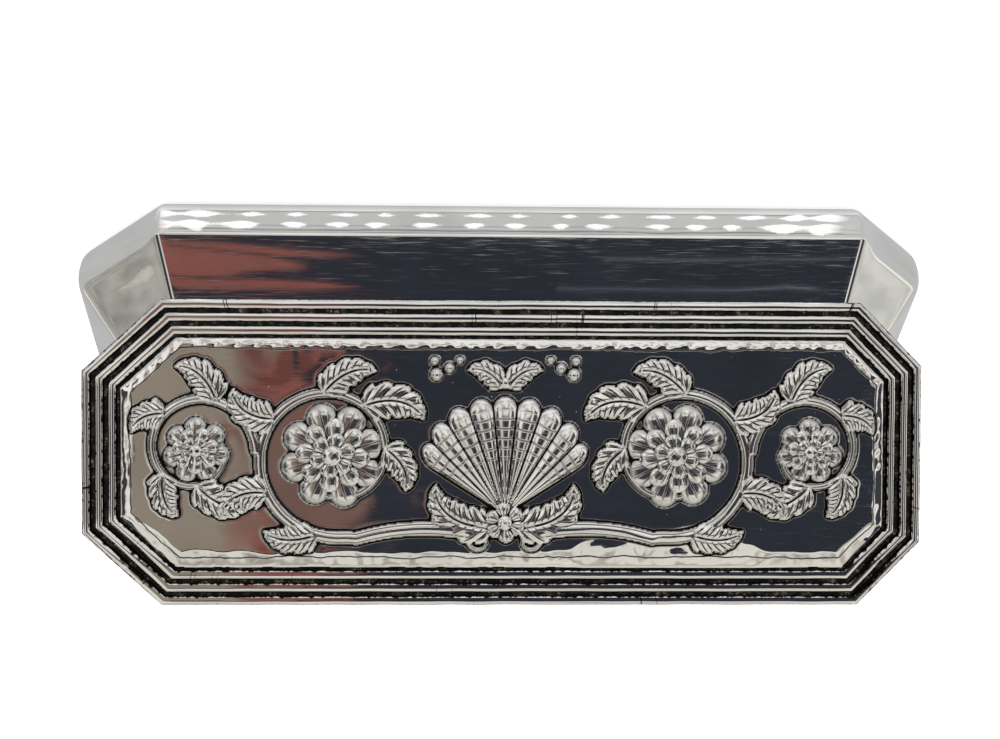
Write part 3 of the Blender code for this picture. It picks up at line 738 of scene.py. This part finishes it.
def reed_oxide_and_painted_reflection(add, colours, colour):
    """Darkens the ragged foot of a wire, where oxide has stayed in the groove, and the cracks of its solder, and
    paints a dark reflection band higher up the wires at the ends and the front.
    """
    rise = add("Attribute", attribute_name="rise", output="Fac")
    place = add("TexCoord", output="Object")
    # patches 0.8 mm across
    patches = add("TexNoise", place, Scale=1300, Detail=4)
    level = add("Math", patches, 1.1, -0.42, operation="MULTIPLY_ADD")
    # painted dark reflection: the oxide colour reaches higher up the wires at the two ends of the lid and along the
    # front, which stands highest
    split = add("SeparateXYZ", place, output=None)
    side = add("Math", split["X"], operation="ABSOLUTE")
    ends = add("MapRange", side, 0.051, 0.057, 0, 0.38)
    front = add("MapRange", split["Z"], 0.050, 0.052, 0, 0.10)
    level = add("Math", level, add("Math", ends, front, operation="MAXIMUM"), operation="ADD")
    clean = add("MapRange", add("Math", rise, level, operation="SUBTRACT"), 0.12, 0.26)
    # a crack 0.1 mm wide where a slow wave round the wire crosses one value, in a few chosen stretches
    lap = add("Attribute", attribute_name="lap", output="Vector")
    crack = add("MapRange", apart(add, add("TexNoise", lap, Scale=1.6, Detail=1), 0.56), 0.002, 0.005)
    spared = add("MapRange", add("TexNoise", lap, Scale=0.7), 0.62, 0.61)
    whole = add("Math", crack, spared, operation="MAXIMUM")
    clean = add("Math", clean, whole, operation="MULTIPLY")
    return add("Mix", clean, inputs={6: colours.oxide, 7: colour}, **COLOUR_MIX)


def embossed_silver(colours):
    """Chased silver: mirror ground, bright worn crests, black oxide in every recess and chased line, and painted grey
    shade on the low parts of the leaves.
    """
    material, add = new_material("embossed_silver")
    place, colour, scratches, hairs = wear(add, colours, REST_OPENING, 0.84)
    rise, cavity, phase, line, inside = (add("Attribute", attribute_name=name, output="Fac") for name in PANEL_LAYERS)
    wave = add("Math", add("Math", phase, 2 * math.pi, operation="MULTIPLY"), operation="COSINE")
    cut = add("MapRange", wave, 0.50, 0.92, interpolation_type="SMOOTHSTEP")
    cut = add("Math", cut, line, operation="MULTIPLY")
    # a chased line, 0.15 mm wide, that wavers along the foot of the rolled edge
    level = add("Math", add("TexNoise", place, Scale=260, Detail=2), 1.3, inside, operation="MULTIPLY_ADD")
    cut = add("Math", cut, add("MapRange", apart(add, level, 2.36), 0.12, 0.04), operation="MAXIMUM")
    recess = add("MapRange", cavity, 0.02, 0.10, interpolation_type="SMOOTHSTEP")
    # painted grey shade on the low parts of the leaves, together with tarnish that a polishing cloth misses
    low = add("MapRange", rise, 0.2, 0.62, 0.55, 0)
    high = add("MapRange", rise, 0.03, 0.1)
    recess = add("Math", low, high, recess, operation="MULTIPLY_ADD")
    # oxide in the lines and recesses, together with the painted shade on the low parts, darkens the silver
    oxide_and_painted_shade = add("Math", cut, 0.95, recess, operation="MULTIPLY_ADD", use_clamp=True)
    colour = add("Mix", oxide_and_painted_shade, inputs={6: colour, 7: colours.oxide}, **COLOUR_MIX)
    rough = add("MapRange", scratches, 0.3, 0.75, 0.02, 0.055)
    # specks of dust 0.2 mm across
    dust = add("TexNoise", place, Scale=1500)
    for more in (add("MapRange", rise, 0.02, 0.2, 0, 0.08), hairs, add("MapRange", dust, 0.75, 0.79, 0, 0.35)):
        rough = add("Math", rough, more, operation="ADD")
    fine = add("Bump", Height=scratches, Distance=0.0000009, Strength=0.5)
    return feed(material, "Principled BSDF", {
        "Base Color": colour, "Metallic": 1, "Roughness": add("Mix", oxide_and_painted_shade, inputs={2: rough, 3: 0.5}),
        "Normal": add("Bump", Height=cut, Distance=0.0001, Strength=1, Normal=fine, invert=True)})


def oxidised_silver(colours):
    """The lid's plate: silver, but for its bed between the wires, black and brown with specks of dried polish."""
    material, add = new_material("oxidised_silver")
    place = add("TexCoord", output="Object")
    # mottling 1.4 mm across and specks 0.3 mm across
    mottle, specks = (add("TexNoise", place, Scale=scale, Detail=detail) for scale, detail in ((700, 5), (3000, 3)))
    dark = add("Mix", add("MapRange", mottle, 0.48, 0.68), **COLOUR_MIX,
               inputs={6: linear("#080605"), 7: linear("#4A382C")})
    both = add("Math", mottle, 0.7, specks, operation="MULTIPLY_ADD")
    dark = add("Mix", add("MapRange", both, 0.98, 1.08), inputs={6: dark, 7: linear("#978B78")}, **COLOUR_MIX)
    # height above the plate's underside, in the frame of the shut lid
    shut = add("Mapping", place, Rotation=(REST_OPENING, 0, 0),
               Location=PIN - Matrix.Rotation(REST_OPENING, 3, "X") @ PIN)
    bed = add("MapRange", add("SeparateXYZ", shut, output="Z"), LID_UNDERSIDE + 0.0006, LID_UNDERSIDE + 0.0007)
    return feed(material, "Principled BSDF", {
        "Base Color": add("Mix", bed, inputs={6: colours.silver, 7: dark}, **COLOUR_MIX),
        "Metallic": add("MapRange", bed, inputs={3: 1, 4: 0.35}),
        "Roughness": add("MapRange", bed, inputs={3: 0.16, 4: 0.55}),
        "Normal": add("Bump", Height=specks, Distance=0.00005, Strength=bed)})


def cotton_velvet(colours):
    """Cut-pile cotton velvet: almost black where one looks into the pile, bright at grazing angles."""
    material, add = new_material("cotton_velvet")
    place = add("TexCoord", output="Object")
    # nap brushed in patches 14 mm across, and pile tufts 0.4 mm apart
    nap, tufts = add("TexNoise", place, Scale=70, Detail=3), add("TexVoronoi", place, Scale=2500)
    deep, bright = (np.multiply(colours.velvet, share) for share in (0.55, 1.5))
    return feed(material, "Principled BSDF", {
        "Base Color": add("Mix", nap, inputs={6: deep, 7: bright}, **COLOUR_MIX), "Roughness": 0.9,
        "Normal": add("Bump", Height=tufts, Distance=0.0002, Strength=0.7),
        "Sheen Weight": 0.8, "Sheen Roughness": 0.35, "Sheen Tint": linear("#8FA0D8")})


def silk_satin(colours):
    """Satin weave silk: soft gloss, with threads 0.15 mm apart drawn at 0.6 mm so that they show."""
    material, add = new_material("silk_satin")
    flat = add("Mapping", add("TexCoord", output="Object"), Rotation=(REST_OPENING, 0, 0))
    threads = add("TexWave", flat, Scale=520, Distortion=0.6, bands_direction="X", output=1)
    shade = add("TexNoise", flat, Scale=120, Detail=3)
    return feed(material, "Principled BSDF", {
        "Base Color": add("Mix", shade, inputs={6: np.multiply(colours.silk, 0.8), 7: colours.silk}, **COLOUR_MIX),
        "Normal": add("Bump", Height=threads, Distance=0.00003, Strength=0.5),
        "Roughness": 0.38, "Sheen Weight": 0.3})


# Operators, one for each group of pieces and one for the stage

class BOX_OT_raise_body(bpy.types.Operator):
    """Raise the eight-sided wall, with its flare, bend and belly"""
    bl_idname = "silver_box.raise_body"
    bl_label = "Raise Body"

    def execute(self, context):
        path = wall_path()
        outer = with_seam(between(path, 0, MOUTH_HEIGHT), 0) + [(FLANGE_OUT, 0, INNER_SEAM)]
        inner = with_seam(between(offset(path, WALL), WALL, MOUTH_HEIGHT), WALL) + [(FLANGE_OUT, WALL, INNER_SEAM)]
        soft = with_soft_seam(between(wall_path(SOFT_BEND, SOFT_BELLY), 0, MOUTH_HEIGHT)) + outer[-1:]
        work = swept(outer + inner[::-1], pitch=0.001, soft=soft + inner[::-1])
        silver = polished_silver("polished_silver", context.scene.silver_box_colours, rough=(0.02, 0.045),
                                 depth=0.0000005)
        piece = add_piece("raised_wall", work, "body", silver, ["body_shell"])
        # the block that cuts the notch reaches 2 mm past the lid's edge and well above the mouth
        cutter = bmesh.new()
        size = Vector((2 * NOTCH_HALF, 0.02, 0.01))
        bmesh.ops.create_cube(cutter, size=1)
        bmesh.ops.scale(cutter, vec=size, verts=cutter.verts)
        bmesh.ops.translate(cutter, vec=(0, LID_WIDTH / 2 + 0.002 - size.y / 2, NOTCH_BOTTOM + size.z / 2),
                            verts=cutter.verts)
        block = new_object("notch", cutter)
        cut = piece.modifiers.new("notch", "BOOLEAN")
        cut.operation, cut.solver, cut.object = "DIFFERENCE", "EXACT", block
        finished = bpy.data.meshes.new_from_object(piece.evaluated_get(context.evaluated_depsgraph_get()))
        piece.modifiers.clear()
        piece.data = finished
        bpy.data.objects.remove(block, do_unlink=True)
        # the flat faces keep their own normals, so that only the bends turn a reflection
        weigh = piece.modifiers.new("even_shading", "WEIGHTED_NORMAL")
        weigh.mode, weigh.weight, weigh.keep_sharp = "FACE_AREA", 50, True
        return {"FINISHED"}


class BOX_OT_solder_reeds(bpy.types.Operator):
    """Lay the three half-round wires of the border"""
    bl_idname = "silver_box.solder_reeds"
    bl_label = "Solder Reeds"

    def execute(self, context):
        # the wires' oxide colour also paints a dark reflection band at the front and the ends
        silver = polished_silver("drawn_silver_wire", context.scene.silver_box_colours, REST_OPENING, (0.03, 0.07),
                                 reed_oxide_and_painted_reflection)
        for place, name in enumerate(("outer_reed", "middle_reed", "inner_reed")):
            work = wire(context.scene.silver_box_sizes, place)
            wander(work, size=0.004, amount=0.00005, seed=place * 7.3)
            open_lid(work)
            add_piece(name.replace("reed", "wire"), work, "lid", silver, [name], sharp=35)
        return {"FINISHED"}


class BOX_OT_emboss_panel(bpy.types.Operator):
    """Emboss the panel with scrolling leaves and blossoms"""
    bl_idname = "silver_box.emboss_panel"
    bl_label = "Emboss Panel"

    def execute(self, context):
        work = panel_mesh(context.scene.silver_box_sizes)
        open_lid(work)
        silver = embossed_silver(context.scene.silver_box_colours)
        add_piece("embossed_panel", work, "lid", silver, ["lid_panel"], sharp=60)
        return {"FINISHED"}


def pad(top, edge_out, bottom, crown, roll, folds=0.0):
    """A crowned pad that fills the eight sides, with a rolled edge."""
    section = [(edge_out - roll * 0.5, bottom, 0)]
    for step in range(7):
        angle = math.pi / 2 * step / 6
        section.append((edge_out - roll * (1 - math.cos(angle)), top - roll * (1 - math.sin(angle)), 0))
    # the innermost ring stops short of where the cut corners would close up
    span = 0.0155 + edge_out - roll
    for step in range(1, 15):
        share = step / 14
        section.append((edge_out - roll - span * share, top + crown * (1 - (1 - share) ** 2.2), 0))
    work = swept(section, pitch=0.0025, capped=True)
    if folds:
        for vert in work.verts:
            inside = -(edge_distance(vert.co.x, vert.co.y) - PANEL_OUT)
            deep = math.exp(-((inside + edge_out) / 0.006) ** 2) if vert.co.z > bottom else 0
            ring = math.atan2(vert.co.y * 2.2, vert.co.x)
            vert.co.z += folds * deep * math.sin(ring * 46 + 3 * noise.noise(vert.co * 90))
    return work


class BOX_OT_line_box(bpy.types.Operator):
    """Line the box with velvet and the lid with silk"""
    bl_idname = "silver_box.line_box"
    bl_label = "Line Box"

    def execute(self, context):
        colours = context.scene.silver_box_colours
        velvet = cotton_velvet(colours)
        path = offset(wall_path(), WALL + GAP)
        edge = between(path, PAD_BOTTOM, PAD_TOP)[0].x - 0.0002
        work = pad(PAD_TOP - 0.0002, edge, PAD_BOTTOM, crown=0.0009, roll=0.0009)
        wander(work, size=0.012, amount=0.00025, seed=4.1, moves=(0, 0, 1))
        cushion = add_piece("velvet_floor_pad", work, "body", velvet, ["floor_pad"], sharp=60)
        faces = (path, offset(wall_path(), WALL + GAP + CARD))
        outer, inner = (with_seam(between(face, PAD_TOP + GAP, NOTCH_BOTTOM - GAP), WALL) for face in faces)
        work = swept(outer + inner[::-1], pitch=0.003)
        wander(work, size=0.010, amount=0.00012, seed=9.7)
        lining = add_piece("velvet_wall_lining", work, "body", velvet, ["wall_lining"], sharp=60)
        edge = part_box("lid_lining")[1].x - LID_LENGTH / 2
        work = pad(0, edge, -LID_PAD, crown=0.0005, roll=0.0005, folds=0.00018)
        bmesh.ops.scale(work, vec=(1, 1, -1), verts=work.verts)
        bmesh.ops.translate(work, vec=(0, 0, LID_UNDERSIDE - GAP - LID_PAD), verts=work.verts)
        bmesh.ops.recalc_face_normals(work, faces=work.faces)
        open_lid(work)
        silk = add_piece("silk_lid_lining", work, "lid", silk_satin(colours), ["lid_lining"], sharp=60)
        return {"FINISHED"}


class BOX_OT_finish_metal(bpy.types.Operator):
    """Give the plates, the hinge and the other metal of the frame their finishes"""
    bl_idname = "silver_box.finish_metal"
    bl_label = "Finish Metal"

    def execute(self, context):
        colours = context.scene.silver_box_colours
        plain = polished_silver("satin_silver", colours, rough=(0.12, 0.22))
        lid_plain = polished_silver("satin_silver_of_lid", colours, REST_OPENING, (0.12, 0.22))
        bed = oxidised_silver(colours)
        lid_nodes = frame["record"]["behaviour"]["bodies"]["lid"]
        for name, item in frame["nodes"].items():
            if item.hide_render:
                continue
            item.data.materials.clear()
            item.data.materials.append(bed if name == "lid_plate" else lid_plain if name in lid_nodes else plain)
        return {"FINISHED"}


# Stage

def emission(name, colour):
    material, add = new_material(name)
    return feed(material, "Material Output", {"Surface": add("Emission", colour, Strength=1)})


def mottled(name, dark, light):
    """A card with soft patches about 8 mm across, as worn silver mirrors an even one."""
    material, add = new_material(name)
    patches = add("TexNoise", add("TexCoord", output="Object"), Scale=120, Detail=3)
    share = add("MapRange", patches, 0.36, 0.62)
    colour = add("Mix", share, inputs={6: linear(dark), 7: linear(light)}, **COLOUR_MIX)
    return feed(material, "Material Output", {"Surface": add("Emission", colour)})


def mirrored_only(item):
    """A card of the studio, which only polished surfaces see."""
    item.visible_camera = False
    item.visible_diffuse = False
    item.visible_shadow = False


def card(name, centre, width, height, material):
    """A flat card with its width level, which faces the box."""
    work = bmesh.new()
    bmesh.ops.create_grid(work, x_segments=1, y_segments=1, size=0.5)
    towards = (Vector((0, 0, 0.03)) - Vector(centre)).normalized()
    level = Vector((0, 0, 1)).cross(towards).normalized()
    turn = Matrix((level * width, towards.cross(level) * height, towards)).transposed()
    bmesh.ops.transform(work, matrix=Matrix.Translation(centre) @ turn.to_4x4(), verts=work.verts)
    mirrored_only(new_object(name, work, material))


def streak(name, points, depth, material, sideways=False):
    """A flat shape on an upright plane behind the box, or beside it, from (across, height) points in millimetres."""
    work = bmesh.new()
    verts = [work.verts.new((depth, x * MM, z * MM) if sideways else (x * MM, depth, z * MM)) for x, z in points]
    work.faces.new(verts)
    mirrored_only(new_object(name, work, material))


def sleeve_cloth(colours):
    """The mirrored sleeve: russet folds above and below, dull brown between, beige at its left, navy beyond."""
    material, add = new_material("sleeve_cloth")
    place = add("TexCoord", output="Object")
    split = add("SeparateXYZ", place, output=None)
    folds = add("TexNoise", add("Mapping", place, Scale=(16, 1, 150)), Scale=1, Detail=2)
    drift = add("TexNoise", place, Scale=26, Detail=2)
    band = add("MapRange", apart(add, split["Z"], 0.319), 0.026, 0.040)
    reach = add("MapRange", band, inputs={3: 0.015, 4: 0.11})
    edge = add("Math", folds, reach, split["X"], operation="MULTIPLY_ADD")
    edge = add("Math", drift, 0.03, edge, operation="MULTIPLY_ADD")
    past = add("Math", edge, add("MapRange", band, inputs={3: -0.018, 4: 0.022}), operation="SUBTRACT")
    cover = add("MapRange", past, 0, add("MapRange", band, inputs={3: 0.016, 4: 0.003}), 1, 0)
    cloth = add("Mix", band, inputs={6: linear("#755C55"), 7: colours.russet}, **COLOUR_MIX)
    crease = add("Mix", band, inputs={2: 1, 3: add("MapRange", folds, 0.42, 0.50, 0.6, 1.08)})
    cloth = add("VectorMath", cloth, Scale=crease, operation="SCALE")
    left = add("MapRange", add("Math", drift, 0.05, split["X"], operation="MULTIPLY_ADD"), -0.062, -0.076)
    cloth = add("Mix", left, inputs={6: cloth, 7: linear("#8D8478")}, **COLOUR_MIX)
    colour = add("Mix", cover, inputs={6: colours.navy, 7: cloth}, **COLOUR_MIX)
    return feed(material, "Material Output", {"Surface": add("Emission", colour)})


def table_light():
    """Light off the table, as polished silver sees it: grey beside the box, white beyond, two rows of lamps."""
    material, add = new_material("table_light")
    place = add("TexCoord", output="Object")
    split = add("SeparateXYZ", place, output=None)
    side, beyond = (add("Math", split[name], operation="ABSOLUTE") for name in ("X", "Y"))
    # what the foot mirrors, and the dark line between the foot and the belly
    strip = add("MapRange", beyond, 0.0262, 0.0292, 0.55, 0.92)
    near_box = add("Mix", add("MapRange", beyond, 0.0296, 0.0300), inputs={2: strip, 3: 0.64})
    far = add("VectorMath", place, (0.65, 1, 0), operation="MULTIPLY")
    white = add("MapRange", add("VectorMath", far, operation="LENGTH", output="Value"), 0.042, 0.075, 0, 0.34,
                interpolation_type="SMOOTHSTEP")
    total = add("Math", near_box, white, operation="ADD")
    slow = add("TexNoise", place, Scale=90, Detail=1)
    # dark lines that waver along the foot and below the bend, each with half its width and its depth
    waved = add("Math", slow, 0.0012, beyond, operation="MULTIPLY_ADD")
    for row, width, depth in ((0.0304, 0.0005, -0.38), (0.0378, 0.0003, -0.22), (0.0392, 0.0004, -0.44),
                              (0.0401, 0.0003, -0.32)):
        total = add("Math", total, add("MapRange", apart(add, waved, row), 0, width, depth, 0), operation="ADD")
    # ragged edges of the lamps, 0.5 mm across, which lie 7.3 mm apart and grow towards the ends
    grain = add("Math", add("TexNoise", place, Scale=1900, Detail=3), 0.0012, -0.0006, operation="MULTIPLY_ADD")
    ends = add("MapRange", side, 0.038, 0.050, 0.35, 1.9)
    kept = add("MapRange", side, 0.0535, 0.0565, 0.8, 0)
    for row, swell, shift in ((0.0312, 0.0007, 0), (0.0368, 0.0009, 0.9)):
        swayed = add("Math", slow, 7, shift, operation="MULTIPLY_ADD")
        angle = add("Math", split["X"], 2 * math.pi / 0.0073, swayed, operation="MULTIPLY_ADD")
        beat = add("Math", add("Math", angle, operation="COSINE"), ends, operation="ADD")
        lens = add("Math", beat, swell, grain, operation="MULTIPLY_ADD")
        left = add("Math", lens, apart(add, split["Y"], row), operation="SUBTRACT")
        total = add("Math", add("MapRange", left, -0.0001, 0.0006), kept, total, operation="MULTIPLY_ADD")
    # even grey beyond both ends of the box, darker at the left
    grey = add("MapRange", split["X"], -0.07, 0.07, 0.50, 0.56)
    grey = add("Math", slow, 0.12, grey, operation="MULTIPLY_ADD")
    total = add("Mix", add("MapRange", side, 0.057, 0.062), inputs={2: total, 3: grey})
    return feed(material, "Material Output", {"Surface": add("Emission", linear("#F4F5F8"), Strength=total)})


def soft_studio():
    """White light all round, which polished surfaces see as a pale room with darker patches."""
    world = bpy.data.worlds.new("soft_studio")
    world.use_nodes = True
    add = partial(add_node, world)
    feed(world, "Background", {"Color": (1, 1, 1), "Strength": 1.12})
    way = add("TexCoord", output="Generated")
    share = add("MapRange", add("SeparateXYZ", way, output="Z"), 0.4, 0.85)
    tint = add("Mix", share, inputs={6: linear("#F2F2EF"), 7: linear("#DEDDD6")}, **COLOUR_MIX)
    dim = add("MapRange", add("TexNoise", way, Scale=4, Detail=2), 0.50, 0.62)
    tint = add("Mix", dim, inputs={6: tint, 7: linear("#A69F96")}, **COLOUR_MIX)
    plain = world.node_tree.nodes["Background"].outputs[0]
    ray = add("LightPath", output="Is Glossy Ray")
    return feed(world, "World Output", {"Surface": add("MixShader", ray, plain, add("Background", tint, Strength=1))})


def hang_cards(colours):
    """The cards that the silver mirrors: a dark room with a russet sleeve behind, and sheets at both ends."""
    navy, russet, thin, dusk = (emission(name, colour) for name, colour in (
        ("navy_card", colours.navy), ("russet_card", colours.russet), ("grey_line", linear("#878D95")),
        ("dusk_card", linear("#3A3B42"))))
    for name, depth, material, points in (
            ("dark_card", 0.33, navy, [
                (-131, 216.5), (146, 216.5), (156, 218.5), (160, 224), (160, 252), (192, 262), (192, 500),
                (-140, 500), (-140, 252), (-131, 248)]),
            ("upper_tongue", 0.328, russet, [
                (-132.9, 220.3), (-107.7, 220.9), (-89.3, 221.7), (-72.2, 223.9), (-55.1, 225.9), (-40.1, 227),
                (-55.1, 228.2), (-71.1, 227.2), (-89.3, 225.3), (-107.7, 222.8), (-121.5, 221.7), (-131.9, 221.3)]),
            ("middle_tongue", 0.328, russet, [
                (-131.9, 222), (-126.1, 222.2), (-107.7, 223.6), (-89.3, 226.2), (-75.7, 227.9), (-68.9, 229.6),
                (-59.7, 232.6), (-63.1, 233.5), (-84.8, 235.1), (-89.3, 236.9), (-105.4, 237.3), (-114.6, 237),
                (-124.8, 240.8), (-128.9, 237.2), (-129.2, 229.3), (-131.7, 224.8)]),
            ("lower_tongue", 0.328, russet, [
                (-126.6, 243), (-124.4, 241.1), (-114.6, 238.3), (-105.4, 238.5), (-93.9, 239.4), (-84.8, 238.7),
                (-72.2, 239.1), (-55.1, 240.2), (-39.1, 242.1), (-55.1, 243.3), (-89.3, 243.6), (-126.1, 243.4)]),
            ("left_strip", 0.328, russet, [
                (-133.2, 222.2), (-131.5, 225.1), (-130.2, 231.2), (-129.6, 237.9), (-128.2, 242.6),
                (-130.7, 242.6), (-132.7, 231.2)]),
            ("thin_line", 0.3275, thin, [
                (35, 241.6), (103.9, 242), (113.8, 241.3), (123.5, 240), (133.5, 240.9), (142.2, 242.2),
                (133.5, 241.5), (123.5, 240.6), (113.8, 241.8), (103.9, 242.5), (35, 242)]),
            ("thin_line_above", 0.3275, thin, [
                (52.5, 227.5), (100, 227.2), (148.1, 226.6), (148.1, 227), (100, 227.6), (52.5, 227.9)]),
            ("sleeve", 0.3285, sleeve_cloth(colours), [(-138, 250), (12, 250), (12, 400), (-138, 400)]),
            ("upper_notch", 0.3275, navy, [(-65, 262), (-60, 260), (-57, 265), (-58, 271), (-61, 275), (-64, 271)]),
            ("middle_notch", 0.3275, navy, [(-52, 262), (-47, 259), (-44, 265), (-45, 272), (-49, 277), (-51, 271)]),
            ("lower_notch", 0.3275, navy, [(-65, 360), (-59, 363), (-56, 371), (-59, 379), (-65, 381), (-67, 370)]),
            ("last_notch", 0.3275, navy, [(-46, 357), (-41, 362), (-38, 372), (-43, 381), (-47, 372)])):
        streak(name, points, depth, material)
    dark = [(150, 170), (500, 170), (500, 520), (150, 520)]
    lens = [(42.3, 120.5), (49.4, 122.6), (56.4, 122.8), (59.1, 123.6), (59.8, 125.6), (58, 127.7), (54.1, 128),
            (49.6, 125.2)]
    middle = [sum(values) / len(lens) for values in zip(*lens)]
    wider = [(middle[0] + (x - middle[0]) * 1.13, middle[1] + (z - middle[1]) * 1.22) for x, z in lens]
    for name, depth, material, points in (
            ("left_lens", -0.45, emission("lens_card", linear("#C9C9C0")), lens),
            ("left_shade", -0.451, emission("grey_card", linear("#7F807A")), wider),
            ("left_dark", -0.45, dusk, dark),
            ("right_dark", 0.45, dusk, dark),
            ("left_sheet", -0.452, mottled("left_sheet", "#8D8E89", "#B4B5B0"), [
                (-80, 0), (140, 0), (140, 200), (-80, 200)]),
            ("right_line", 0.449, emission("white_card", (1, 1, 1)), [(-70, 20), (70, 20), (70, 45), (-70, 45)]),
            ("right_sheet", 0.45, mottled("right_sheet", "#C1C3BE", "#DCDDD9"), [
                (-70, 0), (70, 0), (70, 150), (-70, 150)])):
        streak(name, points, depth, material, sideways=True)
    card("front_card", (0, -0.42, 0.36), 0.5, 0.20, navy)
    for name, across in (("left_card", -0.42), ("right_card", 0.42)):
        card(name, (across, -0.06, 0.42), 0.26, 0.16, navy)


def photo_camera(scene):
    """The camera at the photo's viewing angle."""
    tilt, swing, roll = (math.radians(angle) for angle in (VIEW_TILT, VIEW_SWING, VIEW_ROLL))
    away = Vector((math.sin(swing), math.cos(swing) * math.sin(tilt), math.cos(swing) * math.cos(tilt)))
    up = Vector((0, 1, 0))
    up = (up - away * up.dot(away)).normalized()
    top = up * math.cos(roll) + up.cross(away) * math.sin(roll)
    side = top.cross(away)
    camera = bpy.data.cameras.new("camera")
    camera.lens, camera.sensor_width, camera.clip_start = FOCAL_PIXELS * SENSOR / PHOTO_PIXELS, SENSOR, 0.01
    viewer = bpy.data.objects.new("camera", camera)
    scene.collection.objects.link(viewer)
    place = VIEW_CENTRE + away * VIEW_AWAY + side * VIEW_ASIDE + top * VIEW_ABOVE
    viewer.matrix_world = Matrix.Translation(place) @ Matrix((side, top, away)).transposed().to_4x4()
    scene.camera = viewer


class BOX_OT_set_stage(bpy.types.Operator):
    """Set the pale floor, the soft light, the mirrored cards and the camera"""
    bl_idname = "silver_box.set_stage"
    bl_label = "Set Stage"

    def execute(self, context):
        context.scene.view_settings.view_transform = "Standard"
        paper = feed(new_material("white_paper")[0], "Principled BSDF", {
            "Base Color": (0.92, 0.92, 0.92), "Roughness": 0.9,
            "Emission Color": (1, 1, 1), "Emission Strength": 0.45})
        for name, size, height, material, finish in (("floor", 3, 0, paper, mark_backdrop),
                                                     ("table_light", 2, 0.0002, table_light(), mirrored_only)):
            work = bmesh.new()
            bmesh.ops.create_grid(work, x_segments=1, y_segments=1, size=size)
            bmesh.ops.translate(work, vec=(0, 0, height), verts=work.verts)
            finish(new_object(name, work, material))
        context.scene.world = soft_studio()
        hang_cards(context.scene.silver_box_colours)
        photo_camera(context.scene)
        return {"FINISHED"}


class BOX_PT_pieces(bpy.types.Panel):
    bl_idname = "BOX_PT_pieces"
    bl_label = "Silver Box"
    bl_space_type = "VIEW_3D"
    bl_region_type = "UI"
    bl_category = "Silver Box"

    def draw(self, context):
        for group in (context.scene.silver_box_sizes, context.scene.silver_box_colours):
            for name in group.__annotations__:
                self.layout.prop(group, name)
        for operator in OPERATORS:
            self.layout.operator(operator.bl_idname)


OPERATORS = (BOX_OT_raise_body, BOX_OT_solder_reeds, BOX_OT_emboss_panel, BOX_OT_line_box, BOX_OT_finish_metal,
             BOX_OT_set_stage)
CLASSES = (SilverBoxSizes, SilverBoxColours, *OPERATORS, BOX_PT_pieces)


def register():
    for item in CLASSES:
        bpy.utils.register_class(item)
    bpy.types.Scene.silver_box_sizes = PointerProperty(type=SilverBoxSizes)
    bpy.types.Scene.silver_box_colours = PointerProperty(type=SilverBoxColours)


def unregister():
    del bpy.types.Scene.silver_box_colours
    del bpy.types.Scene.silver_box_sizes
    for item in reversed(CLASSES):
        bpy.utils.unregister_class(item)


def main():
    register()
    bpy.ops.silver_box.raise_body()
    bpy.ops.silver_box.solder_reeds()
    bpy.ops.silver_box.emboss_panel()
    bpy.ops.silver_box.line_box()
    bpy.ops.silver_box.finish_metal()
    bpy.ops.silver_box.set_stage()


if __name__ == "__main__":
    main()
